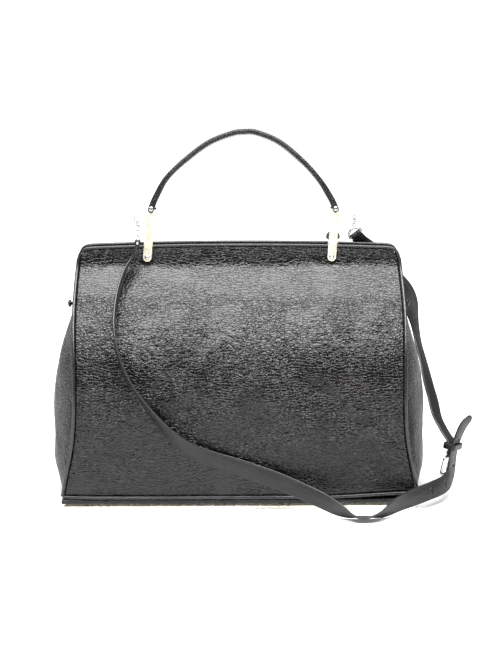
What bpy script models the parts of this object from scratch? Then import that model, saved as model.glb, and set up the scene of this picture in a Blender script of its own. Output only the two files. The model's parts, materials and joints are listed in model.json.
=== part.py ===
"""Doctor bag: a hinged-frame leather satchel with one top handle and a shoulder strap.

Metres, +Z up. X runs along the bag, -Y is the front, +Y the back. The origin is
the middle of the base plate's underside.
"""
import math

import bmesh
import bpy
from mathutils import Matrix, Vector

# ---- driving dimensions ------------------------------------------------------
GAP = 0.0003                # air between pieces that touch
LEATHER = 0.0022            # thickness of the panels
GUSSET_LEATHER = 0.0018
BEAD = 0.0016               # radius of the piping round each panel
PANEL_LOW = 0.0142          # bottom edge of the panels
BEAD_LOW = 0.0118           # the piping's line along the bottom
PANEL_TOP = 0.2475          # top edge of the panels, at the middle
TOP_DROP = 0.003            # how much lower the top edge is at its ends
CORNER = 0.009              # radius of the panels' top corners
EDGE_ROLL = 0.004           # how far a panel's sides turn back, lower down
FOLD_LOW = 0.150            # the back panel's flexible fold starts here
FOLD_HIGH = 0.2160          # and ends here, where the hinged part starts
FOLD_GAP = 0.0010           # air at the fold's two edges
GUSSET_SPLIT = 0.176        # the gussets' pleats start here

# (height, depth in front of the middle plane) of a panel's outer surface
DEPTH = [(0.010, 0.0820), (0.030, 0.0850), (0.080, 0.0875), (0.120, 0.0850), (0.150, 0.0765),
         (0.175, 0.0620), (0.200, 0.0420), (0.218, 0.0255), (0.230, 0.0160), (0.251, 0.0120)]
# (height, half length) of a panel
HALF_LENGTH = [(0.010, 0.1735), (0.030, 0.1695), (0.070, 0.1620), (0.130, 0.1600),
               (0.190, 0.1615), (0.220, 0.1600), (0.251, 0.1570)]
# (height, how far the gusset stands out at its middle)
GUSSET_OUT = [(0.010, 0.1765), (0.030, 0.1840), (0.060, 0.1845), (0.100, 0.1850), (0.140, 0.1785),
              (0.160, 0.1722), (0.180, 0.1662), (0.192, 0.1640), (0.210, 0.1625), (0.240, 0.1590)]

PLATE_HALF = (0.1715, 0.080)
STRIP_HALF = (0.1735, 0.0815)
PLATE_HIGH = 0.0050
PLATE_BEVEL = 0.0025
BASE_STRIP = (0.0053, 0.0098)       # the leather bottom's underside and top
BOARD = (0.0101, 0.0121)            # the stiff board inside
SCREW_AT = (0.135, 0.055)
LINING = (0.0125, 0.165)
LINING_SKIN = 0.001

HINGE_Z = 0.190
FRAME_BAR = (0.230, 0.2395)         # heights of the frame halves' top bars
FRAME_Y = (0.0078, 0.0094)          # how far the bars stand from the middle
FRONT_ARM_X = (0.1512, 0.1528)
BACK_ARM_X = (0.1534, 0.1550)
FRAME_ARM_WIDE = 0.008
FRAME_ARM_LEAN = 0.0048             # how far the arms' upper ends stand from the middle
PIN_R = 0.0016
PIN_HOLE_R = 0.0017

ZIP_Z = 0.2415
ZIP_HALF = 0.145
SLIDER_X = 0.0935

HANDLE_LEAN = math.radians(10.84)   # the band that carries the handle arms leans back
ARM_TILT = math.radians(4.8)        # both arms rest tilted to the right
ARM_PIVOT = {"left": (-0.0905, -0.0168, 0.2384), "right": (0.0913, -0.0168, 0.2384)}
ARM_WIDE = 0.0086
ARM_THICK = 0.0024
ARM_CAP = 0.0430
EYE_AT = 0.0475
# (x, z) of the handle's middle line; y follows from the leaning plane
HANDLE_LINE = [(-0.0865, 0.2849), (-0.0845, 0.2905), (-0.0808, 0.2985), (-0.0715, 0.3145),
               (-0.0550, 0.3305), (-0.0305, 0.3487), (-0.0070, 0.3580), (0.0053, 0.3597),
               (0.0180, 0.3588), (0.0410, 0.3490), (0.0650, 0.3290), (0.0800, 0.3120),
               (0.0893, 0.2975), (0.0930, 0.2905), (0.0953, 0.2849)]

STRAP_WIDE = 0.017
STRAP_END_WIDE = 0.013
STRAP_THICK = 0.0022
# the shoulder strap's route: a point, and the direction of the strap's width there
STRAP_LONG = [
    ((-0.1002, -0.0262, 0.2520), (0, 1, 0)),
    ((-0.1055, -0.0268, 0.2400), (0, 1, 0)),
    ((-0.1125, -0.0330, 0.2255), (0, 0.90, -0.40)),
    ((-0.1177, -0.0472, 0.2098), (0, 0.77, -0.62)),
    ((-0.1206, -0.0609, 0.1934), (0, 0.77, -0.62)),
    ((-0.1211, -0.0727, 0.1778), (0, 0.82, -0.55)),
    ((-0.1190, -0.0823, 0.1610), (-0.05, 0.87, -0.48)),
    ((-0.1131, -0.0893, 0.1438), (-0.10, 0.93, -0.30)),
    ((-0.1045, -0.0945, 0.1271), (-0.15, 0.95, -0.20)),
    ((-0.0931, -0.0975, 0.1100), (-0.30, 0.93, -0.20)),
    ((-0.0798, -0.0978, 0.0924), (-0.40, 0.85, -0.35)),
    ((-0.0656, -0.0965, 0.0765), (-0.45, 0.70, -0.55)),
    ((-0.0494, -0.0945, 0.0630), (-0.45, 0.45, -0.77)),
    ((-0.0292, -0.0930, 0.0534), (-0.35, 0.25, -0.90)),
    ((-0.0080, -0.0922, 0.0465), (-0.30, 0.15, -0.94)),
    ((0.0143, -0.0930, 0.0392), (-0.30, 0.12, -0.95)),
    ((0.0384, -0.0960, 0.0308), (-0.32, 0.12, -0.94)),
    ((0.0575, -0.1010, 0.0235), (-0.35, 0.18, -0.92)),
    ((0.0763, -0.1092, 0.0165), (-0.40, 0.30, -0.87)),
    ((0.0947, -0.1215, 0.0095), (-0.35, 0.65, -0.67)),
    ((0.1135, -0.1290, 0.0040), (-0.10, 0.98, -0.15)),
    ((0.1330, -0.1250, 0.0062), (0.25, 0.87, -0.42)),
    ((0.1534, -0.1090, 0.0125), (0.35, 0.45, -0.82)),
    ((0.1745, -0.0890, 0.0152), (0.38, 0.12, -0.92)),
    ((0.1925, -0.0680, 0.0162), (0.45, 0.10, -0.89)),
    ((0.2030, -0.0530, 0.0175), (0.50, 0.40, -0.75)),
    ((0.2088, -0.0432, 0.0225), (0.49, 0.80, -0.35)),
    ((0.2106, -0.0410, 0.0325), (0.49, 0.857, -0.10)),
    ((0.2115, -0.0402, 0.0420), (0.49, 0.857, -0.10)),
    ((0.2141, -0.0403, 0.0536), (0.49, 0.857, -0.10)),
    ((0.2174, -0.0388, 0.0632), (0.50, 0.85, -0.15)),
    ((0.2225, -0.0360, 0.0727), (0.50, 0.83, -0.25)),
    ((0.2300, -0.0340, 0.0810), (0.50, 0.80, -0.33)),
]
STRAP_SHORT = [
    ((0.1186, 0.0138, 0.2545), (0.80, 0.0, 0.60)),
    ((0.1232, 0.0168, 0.2490), (0.80, -0.10, 0.60)),
    ((0.1335, 0.0185, 0.2395), (0.81, -0.20, 0.55)),
    ((0.1440, 0.0228, 0.2270), (0.81, -0.36, 0.46)),
    ((0.1560, 0.0355, 0.2130), (0.82, -0.36, 0.46)),
    ((0.1690, 0.0500, 0.1975), (0.88, -0.25, 0.40)),
    ((0.1770, 0.0580, 0.1800), (0.85, 0.30, 0.30)),
    ((0.1815, 0.0600, 0.1600), (0.55, 0.80, 0.0)),
    ((0.1850, 0.0520, 0.1400), (0.40, 0.90, -0.10)),
    ((0.1895, 0.0350, 0.1210), (0.50, 0.80, -0.30)),
    ((0.1925, 0.0170, 0.1040), (0.66, 0.65, -0.38)),
    ((0.1955, 0.0000, 0.0905), (0.70, 0.62, -0.41)),
    ((0.1980, -0.0150, 0.0770), (0.65, 0.68, -0.38)),
    ((0.2045, -0.0290, 0.0645), (0.56, 0.80, -0.25)),
    ((0.2110, -0.0385, 0.0541), (0.49, 0.857, -0.10)),
    ((0.2090, -0.0382, 0.0452), (0.49, 0.857, -0.10)),
]
BUCKLE_AT = Vector((0.2060, -0.0380, 0.0325))
BUCKLE_UP = Vector((0.2, 0.0, 0.98)).normalized()
BUCKLE_OUT = Vector((0.84, -0.5, -0.1714)).normalized()
BUCKLE_ACROSS = BUCKLE_UP.cross(BUCKLE_OUT)
BUCKLE_HALF = (0.0106, 0.0090)
WIRE_R = 0.0012


# ---- scene, collections and materials -----------------------------------------
def clear_scene():
    for obj in list(bpy.data.objects):
        bpy.data.objects.remove(obj, do_unlink=True)


def make_collections():
    for name in ("doctor_bag", "cutters"):
        bpy.context.scene.collection.children.link(bpy.data.collections.new(name))


def material(name, colour, roughness, metallic=0.0):
    """A named copy of one of the bag's finishes."""
    mat = bpy.data.materials.new(name)
    mat.use_nodes = True
    shader = mat.node_tree.nodes["Principled BSDF"]
    shader.inputs["Base Color"].default_value = (*colour, 1.0)
    shader.inputs["Roughness"].default_value = roughness
    shader.inputs["Metallic"].default_value = metallic
    return mat


FINISH = {
    "leather": ((0.012, 0.012, 0.013), 0.42, 0.0),
    "edge": ((0.05, 0.05, 0.055), 0.5, 0.0),
    "gold": ((0.86, 0.70, 0.42), 0.22, 1.0),
    "silver": ((0.82, 0.82, 0.82), 0.2, 1.0),
    "steel": ((0.45, 0.45, 0.46), 0.35, 1.0),
    "lining": ((0.20, 0.17, 0.14), 0.85, 0.0),
    "board": ((0.25, 0.18, 0.11), 0.8, 0.0),
    "tape": ((0.02, 0.02, 0.02), 0.9, 0.0),
}


def finish(obj, kind):
    colour, roughness, metallic = FINISH[kind]
    obj.data.materials.clear()
    obj.data.materials.append(material(obj.name, colour, roughness, metallic))
    return obj


# ---- making objects -----------------------------------------------------------
def link(obj, cutter=False):
    bpy.data.collections["cutters" if cutter else "doctor_bag"].objects.link(obj)
    if cutter:
        obj.hide_render = True
        obj.display_type = "WIRE"
    return obj


def from_bmesh(name, bm, kind=None, cutter=False, smooth=True):
    mesh = bpy.data.meshes.new(name)
    bm.to_mesh(mesh)
    bm.free()
    obj = link(bpy.data.objects.new(name, mesh), cutter)
    if smooth:
        mesh.shade_smooth()
        mesh.set_sharp_from_angle(angle=math.radians(35))
    return finish(obj, kind) if kind else obj


def box(name, low, high, kind=None, cutter=False):
    bm = bmesh.new()
    bmesh.ops.create_cube(bm, size=1.0)
    size = [b - a for a, b in zip(low, high)]
    middle = [(a + b) / 2 for a, b in zip(low, high)]
    bmesh.ops.scale(bm, vec=size, verts=bm.verts)
    bmesh.ops.translate(bm, vec=middle, verts=bm.verts)
    return from_bmesh(name, bm, kind, cutter, smooth=False)


def rod(name, start, end, radius, kind=None, cutter=False, sides=20):
    start, end = Vector(start), Vector(end)
    bm = bmesh.new()
    turn = (end - start).to_track_quat("Z", "Y").to_matrix().to_4x4()
    place = Matrix.Translation((start + end) / 2) @ turn
    bmesh.ops.create_cone(bm, cap_ends=True, segments=sides, radius1=radius, radius2=radius,
                          depth=(end - start).length, matrix=place)
    return from_bmesh(name, bm, kind, cutter)


def turned(name, profile, start, direction, kind, steps=16):
    """A turned piece. The profile is (radius, distance along the axis), from one end to the other."""
    bm = bmesh.new()
    corners = [bm.verts.new((radius, 0, along)) for radius, along in profile]
    edges = [bm.edges.new(pair) for pair in zip(corners, corners[1:])]
    bmesh.ops.spin(bm, geom=corners + edges, angle=math.tau, steps=steps, axis=(0, 0, 1),
                   cent=(0, 0, 0), use_merge=True)
    bmesh.ops.remove_doubles(bm, verts=bm.verts, dist=1e-6)
    bmesh.ops.recalc_face_normals(bm, faces=bm.faces)
    place = Matrix.Translation(start) @ Vector(direction).to_track_quat("Z", "Y").to_matrix().to_4x4()
    bmesh.ops.transform(bm, matrix=place, verts=bm.verts)
    return from_bmesh(name, bm, kind)


def wire(name, points, radius, kind, cyclic=False, resolution=2):
    """A round wire or tube along the points."""
    curve = bpy.data.curves.new(name, "CURVE")
    curve.dimensions = "3D"
    curve.bevel_depth = radius
    curve.bevel_resolution = resolution
    curve.use_fill_caps = not cyclic
    spline = curve.splines.new("POLY")
    spline.points.add(len(points) - 1)
    for knot, point in zip(spline.points, points):
        knot.co = (*point, 1.0)
    spline.use_cyclic_u = cyclic
    return finish(link(bpy.data.objects.new(name, curve)), kind)


def boolean(obj, other, operation="DIFFERENCE"):
    cut = obj.modifiers.new(other.name, "BOOLEAN")
    cut.operation = operation
    cut.solver = "EXACT"
    cut.object = other
    return obj


def loft(name, rings, kind, closed=False):
    """A skin through rings of points, capped at both ends unless the rings close on themselves."""
    bm = bmesh.new()
    rows = [[bm.verts.new(point) for point in ring] for ring in rings]
    pairs = list(zip(rows, rows[1:])) + ([(rows[-1], rows[0])] if closed else [])
    for low, high in pairs:
        for i in range(len(low)):
            j = (i + 1) % len(low)
            bm.faces.new((low[i], low[j], high[j], high[i]))
    if not closed:
        bm.faces.new(rows[0])
        bm.faces.new(rows[-1])
    bmesh.ops.recalc_face_normals(bm, faces=bm.faces)
    return from_bmesh(name, bm, kind)


def solidify(obj, thickness, offset):
    shell = obj.modifiers.new("thickness", "SOLIDIFY")
    shell.thickness = thickness
    shell.offset = offset
    shell.use_even_offset = True
    return obj


# ---- smooth lines ---------------------------------------------------------------
def smooth_line(points, steps):
    """A Catmull-Rom line through the points, with a number of steps in each span."""
    pts = [Vector(p) for p in points]
    ends = [2 * pts[0] - pts[1]] + pts + [2 * pts[-1] - pts[-2]]
    line = []
    for i in range(len(pts) - 1):
        a, b, c, d = ends[i:i + 4]
        for k in range(steps):
            t = k / steps
            line.append(0.5 * (2 * b + (c - a) * t + (2 * a - 5 * b + 4 * c - d) * t ** 2
                               + (3 * b - a - 3 * c + d) * t ** 3))
    return line + [pts[-1]]


def table(rows, value):
    """A smooth reading of a (height, size) table."""
    value = min(max(value, rows[0][0]), rows[-1][0])
    for i in range(len(rows) - 1):
        if value <= rows[i + 1][0]:
            break
    slopes = [(b[1] - a[1]) / (b[0] - a[0]) for a, b in zip(rows, rows[1:])]
    tangents = [slopes[0]] + [(p + q) / 2 for p, q in zip(slopes, slopes[1:])] + [slopes[-1]]
    (low, first), (high, last) = rows[i], rows[i + 1]
    span = high - low
    t = (value - low) / span
    return ((2 * t ** 3 - 3 * t ** 2 + 1) * first + (t ** 3 - 2 * t ** 2 + t) * span * tangents[i]
            + (3 * t ** 2 - 2 * t ** 3) * last + (t ** 3 - t ** 2) * span * tangents[i + 1])


def depth(z):
    return table(DEPTH, z)


def half_length(z):
    """Half the length of a panel at a height, with its round top corners."""
    size = table(HALF_LENGTH, z)
    above = z - (PANEL_TOP - TOP_DROP - CORNER)
    if above > 0:
        size -= CORNER - math.sqrt(max(CORNER ** 2 - min(above, CORNER) ** 2, 0.0))
    return size


def edge_roll(z):
    """How far a panel's sides turn back at a height; next to nothing at the flat top band."""
    return EDGE_ROLL * min(max((depth(z) - 0.010) / 0.030, 0.0), 1.0)


def panel_point(across, z, inset=0.0):
    """A point of the front panel's outer surface. across runs from -1 to 1."""
    roll = edge_roll(z) * abs(across) ** 8
    return Vector((across * (half_length(z) - inset), -(depth(z) - roll), z))


# ---- the leather body -----------------------------------------------------------
def panel(name, low, high, rows, side):
    """Part of the front (side 1) or back (side -1) panel between two heights."""
    columns = 14
    bm = bmesh.new()
    bmesh.ops.create_grid(bm, x_segments=columns, y_segments=rows, size=1.0)
    top = high >= PANEL_TOP
    for vert in bm.verts:
        across, up = vert.co.x, (vert.co.y + 1) / 2
        z = low + (high - low) * (1 - (1 - up) ** 1.2 if top else up)
        if top:
            z -= TOP_DROP * across ** 2 * up
        point = panel_point(across, z, BEAD + GAP)
        vert.co = (point.x, side * point.y, point.z)
    if side < 0:
        bmesh.ops.reverse_faces(bm, faces=bm.faces)
    obj = from_bmesh(name, bm, "leather")
    flat = sum(f.normal.y * side for f in obj.data.polygons)
    return solidify(obj, LEATHER, -1.0 if flat < 0 else 1.0)


def bead_line(side):
    """The line of the piping round the front (side 1) or back (side -1) panel, closed."""
    low = PANEL_LOW - 0.0004

    def edge(sign, z):
        point = panel_point(1.0, z)
        return Vector((sign * (point.x + 0.0001), side * point.y, z))

    heights = [low + (PANEL_TOP - CORNER - TOP_DROP - low) * i / 18 for i in range(19)]
    left = [edge(-1, z) for z in heights]
    right = [edge(1, z) for z in reversed(heights)]
    top = []
    reach = table(HALF_LENGTH, PANEL_TOP)
    for i in range(1, 5):
        turn = math.radians(90 * i / 4)
        z = PANEL_TOP - TOP_DROP - CORNER + (CORNER + BEAD + 2 * GAP) * math.sin(turn)
        x = reach - CORNER + (CORNER + 2 * GAP) * math.cos(turn)
        top.append(Vector((-x, -side * (depth(z) - 0.0011), z)))
    run = reach - CORNER
    for i in range(1, 16):
        x = -run + 2 * run * i / 16
        lift = TOP_DROP * (1 - (x / reach) ** 2)
        z = PANEL_TOP - TOP_DROP + BEAD + 2 * GAP + lift
        top.append(Vector((x, -side * (depth(z) - 0.0011), z)))
    for point in reversed(top[:4]):
        top.append(Vector((-point.x, point.y, point.z)))
    reach = edge(1, low).x - BEAD
    bottom = []
    for i in range(15):
        share = 1 - i / 7
        y = -side * (depth(low) - edge_roll(low) * abs(share) ** 8)
        bottom.append(Vector((reach * share, y, BEAD_LOW)))
    return left + top + right + bottom


def gusset_point(sign, s, z):
    """A point of a gusset: s runs from 0 at the front edge to 1 at the back edge."""
    start = half_length(z) - 0.0015
    bulge = table(GUSSET_OUT, z) - start
    half = depth(z) - edge_roll(z) - LEATHER - 0.0015
    x = start + bulge * math.sin(math.pi * s) ** 0.8
    return Vector((sign * x, -half + 2 * half * s, z))


def gusset(name, sign, low, high, rows, columns):
    bm = bmesh.new()
    bmesh.ops.create_grid(bm, x_segments=columns, y_segments=rows, size=1.0)
    for vert in bm.verts:
        s, z = (vert.co.x + 1) / 2, low + (high - low) * (vert.co.y + 1) / 2
        vert.co = gusset_point(sign, s, z)
    bmesh.ops.recalc_face_normals(bm, faces=bm.faces)
    return solidify(from_bmesh(name, bm, "leather"), GUSSET_LEATHER, 0.0)


def leather_body():
    front = panel("front_panel", PANEL_LOW, PANEL_TOP, 14, 1)
    for which, pivot in ARM_PIVOT.items():
        out = arm_axes()[2]
        hole = rod(f"cut_rivet_{which}", Vector(pivot) + 0.006 * out, Vector(pivot) - 0.009 * out,
                   0.0016, cutter=True, sides=14)
        boolean(front, hole)
    panel("back_panel_lower", PANEL_LOW, FOLD_LOW, 8, -1)
    panel("back_panel_fold", FOLD_LOW + FOLD_GAP, FOLD_HIGH - FOLD_GAP, 5, -1)
    panel("back_panel_upper", FOLD_HIGH, PANEL_TOP, 5, -1)
    for sign, which in ((-1, "left"), (1, "right")):
        gusset(f"gusset_{which}", sign, PANEL_LOW, GUSSET_SPLIT, 9, 12)
        pleat = gusset(f"gusset_pleat_{which}", sign, GUSSET_SPLIT + FOLD_GAP, 0.236, 6, 8)
        hole = rod(f"cut_pin_{which}", (sign * 0.150, 0, HINGE_Z), (sign * 0.175, 0, HINGE_Z),
                   PIN_R + 0.0004, cutter=True, sides=14)
        boolean(pleat, hole)


def piping():
    wire("front_piping", bead_line(1), BEAD, "edge", cyclic=True, resolution=1)
    whole = bead_line(-1)
    lower = [p for p in whole if p.z < FOLD_LOW]
    # the line runs up one side first, so the lower part is turned to start at its break
    start = next(i for i in range(len(lower)) if (lower[i] - lower[i - 1]).length > 0.05)
    wire("back_piping_lower", lower[start:] + lower[:start], BEAD, "edge", resolution=1)
    wire("back_piping_upper", [p for p in whole if p.z >= FOLD_HIGH], BEAD, "edge", resolution=1)


def base():
    plate = bmesh.new()
    bmesh.ops.create_cube(plate, size=1.0)
    bmesh.ops.scale(plate, vec=(2 * PLATE_HALF[0], 2 * PLATE_HALF[1], PLATE_HIGH), verts=plate.verts)
    bmesh.ops.translate(plate, vec=(0, 0, PLATE_HIGH / 2), verts=plate.verts)
    rim = [e for e in plate.edges if all(v.co.z > PLATE_HIGH / 2 for v in e.verts)]
    bmesh.ops.bevel(plate, geom=rim, offset=PLATE_BEVEL, segments=1, affect="EDGES")
    plate = from_bmesh("base_plate", plate, "silver", smooth=False)
    bottom = box("base_panel", (-STRIP_HALF[0], -STRIP_HALF[1], BASE_STRIP[0]),
                 (STRIP_HALF[0], STRIP_HALF[1], BASE_STRIP[1]), "leather")
    board = box("base_board", (-0.158, -0.070, BOARD[0]), (0.158, 0.070, BOARD[1]), "board")
    number = 0
    for sx in (-1, 1):
        for sy in (-1, 1):
            number += 1
            x, y = sx * SCREW_AT[0], sy * SCREW_AT[1]
            head = rod(f"cut_head_{number}", (x, y, -0.001), (x, y, 0.0020), 0.0036, cutter=True)
            shank = rod(f"cut_shank_{number}", (x, y, -0.001), (x, y, 0.0150), 0.0019, cutter=True)
            boolean(boolean(plate, head), shank)
            boolean(bottom, shank)
            boolean(board, shank)
            turned(f"base_screw_{number}",
                   [(0, 0), (0.0031, 0), (0.0031, 0.0012), (0.0015, 0.0014), (0.0015, 0.0118), (0, 0.0118)],
                   (x, y, 0.0005), (0, 0, 1), "silver")


def lining():
    """The open-topped lining, a fabric shell that follows the leather inside."""
    around, levels = 28, 9
    bm = bmesh.new()
    rings = []
    for level in range(levels):
        z = LINING[0] + (LINING[1] - LINING[0]) * level / (levels - 1)
        half = (0.1505, depth(z) - 0.0085)
        ring = []
        for i in range(around):
            turn = math.tau * (i + 0.5) / around
            c, s = math.cos(turn), math.sin(turn)
            ring.append(bm.verts.new((half[0] * math.copysign(abs(c) ** 0.35, c),
                                      half[1] * math.copysign(abs(s) ** 0.35, s), z)))
        rings.append(ring)
    for low, high in zip(rings, rings[1:]):
        for i in range(around):
            j = (i + 1) % around
            bm.faces.new((low[i], low[j], high[j], high[i]))
    bm.faces.new(list(reversed(rings[0])))
    obj = from_bmesh("lining", bm, "lining")
    solidify(obj, LINING_SKIN, -1.0)
    box("inner_pocket", (-0.075, 0.0585, 0.060), (0.075, 0.0600, 0.140), "lining")


# ---- the hinged frame -------------------------------------------------------------
def frame_half(name, side, arm_x):
    """One half of the steel frame: a bar along the mouth and an arm down to each hinge."""
    low, high = sorted((side * FRAME_Y[0], side * FRAME_Y[1]))
    bar = box(name, (-arm_x[1], low, FRAME_BAR[0]), (arm_x[1], high, FRAME_BAR[1]), "steel")
    lean = Vector((0, side * FRAME_ARM_LEAN, FRAME_BAR[1] - HINGE_Z))
    for sign in (-1, 1):
        bm = bmesh.new()
        bmesh.ops.create_cube(bm, size=1.0)
        bmesh.ops.scale(bm, vec=(arm_x[1] - arm_x[0], FRAME_ARM_WIDE, lean.length), verts=bm.verts)
        bmesh.ops.translate(bm, vec=(0, 0, lean.length / 2), verts=bm.verts)
        turn = Matrix.Rotation(math.atan2(-lean.y, lean.z), 4, "X")
        middle = sign * (arm_x[0] + arm_x[1]) / 2
        bmesh.ops.transform(bm, matrix=Matrix.Translation((middle, 0, HINGE_Z)) @ turn, verts=bm.verts)
        arm = from_bmesh(f"cut_{name}_arm_{sign + 1}", bm, cutter=True, smooth=False)
        boolean(bar, arm, "UNION")
        ends = (sign * arm_x[0], 0, HINGE_Z), (sign * arm_x[1], 0, HINGE_Z)
        boss = rod(f"cut_{name}_boss_{sign + 1}", *ends, FRAME_ARM_WIDE / 2, cutter=True, sides=24)
        boolean(bar, boss, "UNION")
        hole = rod(f"cut_{name}_hole_{sign + 1}", (sign * 0.148, 0, HINGE_Z), (sign * 0.158, 0, HINGE_Z),
                   PIN_HOLE_R, cutter=True, sides=32)
        boolean(bar, hole)
    return bar


def frame():
    frame_half("front_frame", -1, FRONT_ARM_X)
    frame_half("back_frame", 1, BACK_ARM_X)
    for sign, which in ((-1, "left"), (1, "right")):
        profile = [(0, 0), (0.0030, 0), (0.0030, 0.0010), (PIN_R, 0.0011), (PIN_R, 0.0172),
                   (0.0034, 0.0173), (0.0036, 0.0188), (0.0028, 0.0200), (0.0012, 0.0206), (0, 0.0207)]
        turned(f"hinge_pin_{which}", profile, (sign * 0.1498, 0, HINGE_Z), (sign, 0, 0), "leather", 24)


# ---- the zip -------------------------------------------------------------------------
def zip_fastener():
    for side, which in ((-1, "front"), (1, "back")):
        low, high = sorted((side * 0.0024, side * 0.0098))
        box(f"zip_tape_{which}", (-ZIP_HALF, low, ZIP_Z - 0.0004), (ZIP_HALF, high, ZIP_Z + 0.0004), "tape")
        low, high = sorted((side * 0.0009, side * 0.0021))
        box(f"zip_teeth_{which}", (-ZIP_HALF, low, ZIP_Z - 0.0012), (ZIP_HALF, high, ZIP_Z + 0.0012),
            "silver")
    x = SLIDER_X
    slider = box("zip_slider", (x - 0.0055, -0.0042, ZIP_Z + 0.0016), (x + 0.0055, 0.0042, ZIP_Z + 0.0028),
                 "silver")
    under = box("cut_slider_under", (x - 0.0055, -0.0042, ZIP_Z - 0.0028),
                (x + 0.0055, 0.0042, ZIP_Z - 0.0016), cutter=True)
    post = box("cut_slider_post", (x - 0.0015, -0.0005, ZIP_Z - 0.0020),
               (x + 0.0015, 0.0005, ZIP_Z + 0.0020), cutter=True)
    lug = box("cut_slider_lug", (x - 0.0010, -0.0019, ZIP_Z + 0.0020),
              (x + 0.0010, 0.0019, ZIP_Z + 0.0064), cutter=True)
    hole = rod("cut_slider_hole", (x - 0.003, 0, ZIP_Z + 0.0046), (x + 0.003, 0, ZIP_Z + 0.0046), 0.0010,
               cutter=True, sides=16)
    for piece in (under, post, lug):
        boolean(slider, piece, "UNION")
    boolean(slider, hole)
    zip_pull()


def zip_pull():
    """The pull: a wire link through the slider's lug, and a leather tab on the link."""
    axis = Vector((SLIDER_X, 0, ZIP_Z + 0.0046))
    lean = Matrix.Translation(axis) @ Matrix.Rotation(math.radians(-20), 4, "X")
    corners = [(-0.0050, 0, 0), (0.0050, 0, 0), (0.0050, 0, 0.0054), (-0.0050, 0, 0.0054)]
    line = []
    for i in range(4):
        a, b, c = (Vector(corners[(i + k - 1) % 4]) for k in range(3))
        line += [b + (a - b).normalized() * 0.0012, b + (a - b + c - b).normalized() * 0.0005,
                 b + (c - b).normalized() * 0.0012]
    wire("zip_pull_link", [lean @ p for p in line], 0.0006, "silver", cyclic=True, resolution=1)
    outline = [(-0.0034, 0.0034), (0.0034, 0.0034), (0.0034, 0.0072), (0.0068, 0.0090)]
    outline += [(0.0068 * math.cos(math.radians(a)), 0.0105 + 0.0058 * math.sin(math.radians(a)))
                for a in range(0, 181, 20)]
    outline += [(-0.0068, 0.0090), (-0.0034, 0.0072)]
    bm = bmesh.new()
    face = bm.faces.new([bm.verts.new((x, 0, z)) for x, z in outline])
    grown = bmesh.ops.extrude_face_region(bm, geom=[face])["geom"]
    moved = [v for v in grown if isinstance(v, bmesh.types.BMVert)]
    bmesh.ops.translate(bm, vec=(0, 0.0032, 0), verts=moved)
    bmesh.ops.translate(bm, vec=(0, -0.0016, 0), verts=bm.verts)
    bmesh.ops.recalc_face_normals(bm, faces=bm.faces)
    bmesh.ops.transform(bm, matrix=lean, verts=bm.verts)
    tab = from_bmesh("zip_pull_tab", bm, "leather", smooth=False)
    ends = (lean @ Vector((-0.006, 0, 0.0054)), lean @ Vector((0.006, 0, 0.0054)))
    boolean(tab, rod("cut_tab_loop", *ends, 0.0010, cutter=True, sides=16))


# ---- the handle and its arms -----------------------------------------------------------
def arm_axes():
    """The handle's plane: across, up its lean, and outward."""
    up = Vector((0, math.sin(HANDLE_LEAN), math.cos(HANDLE_LEAN)))
    out = Vector((0, -math.cos(HANDLE_LEAN), math.sin(HANDLE_LEAN)))
    return Vector((1, 0, 0)), up, out


def arm_frame(which):
    """Where an arm stands: columns across, up and outward, with the origin at its pivot."""
    across, up, out = arm_axes()
    along = (up * math.cos(ARM_TILT) + across * math.sin(ARM_TILT)).normalized()
    place = Matrix((along.cross(out), along, out)).transposed().to_4x4()
    return Matrix.Translation(ARM_PIVOT[which]) @ place


def arm(which, sign):
    place = arm_frame(which)
    half, thick = ARM_WIDE / 2, ARM_THICK / 2

    def plate(name, outline, half_thick, kind=None, cutter=False):
        bm = bmesh.new()
        face = bm.faces.new([bm.verts.new((x, y, -half_thick)) for x, y in outline])
        grown = bmesh.ops.extrude_face_region(bm, geom=[face])["geom"]
        moved = [v for v in grown if isinstance(v, bmesh.types.BMVert)]
        bmesh.ops.translate(bm, vec=(0, 0, 2 * half_thick), verts=moved)
        bmesh.ops.transform(bm, matrix=place, verts=bm.verts)
        bmesh.ops.recalc_face_normals(bm, faces=bm.faces)
        return from_bmesh(name, bm, kind, cutter, smooth=False)

    foot = [(half * math.cos(math.radians(a)), half * math.sin(math.radians(a)))
            for a in range(180, 361, 15)]
    bar = plate(f"arm_{which}", foot + [(half, ARM_CAP), (-half, ARM_CAP)], thick, "gold")
    tip = [(0.0022 * math.cos(math.radians(a)), EYE_AT + 0.0022 * math.sin(math.radians(a)))
           for a in range(0, 181, 20)]
    tang = plate(f"cut_tang_{which}", [(-0.0022, 0.040), (0.0022, 0.040)] + tip, 0.0006, cutter=True)
    boolean(bar, tang, "UNION")
    bm = bmesh.new()
    ring_place = place @ Matrix.Translation((sign * (half + 0.0019), 0.0405, 0))
    turned_ring(bm, 0.0022, 0.0007, ring_place)
    boolean(bar, from_bmesh(f"cut_ear_{which}", bm, cutter=True), "UNION")
    for label, at, radius in (("pivot", 0.0, 0.0014), ("eye", EYE_AT, 0.0014)):
        ends = place @ Vector((0, at, -0.003)), place @ Vector((0, at, 0.003))
        boolean(bar, rod(f"cut_{label}_{which}", *ends, radius, cutter=True, sides=24))
    out = arm_axes()[2]
    turned(f"arm_rivet_{which}",
           [(0, 0), (0.0024, 0), (0.0024, 0.0006), (0.0013, 0.0007), (0.0013, 0.0077), (0.0024, 0.0078),
            (0.0021, 0.0086), (0.0012, 0.0091), (0, 0.0093)],
           Vector(ARM_PIVOT[which]) - 0.0063 * out, out, "silver", 16)
    turned(f"eye_pin_{which}",
           [(0, 0), (0.0021, 0), (0.0023, 0.0008), (0.0011, 0.0009), (0.0011, 0.0085), (0.0023, 0.0086),
            (0.0021, 0.0094), (0, 0.0094)],
           place @ Vector((0, EYE_AT, -0.0047)), out, "silver", 16)


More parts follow.
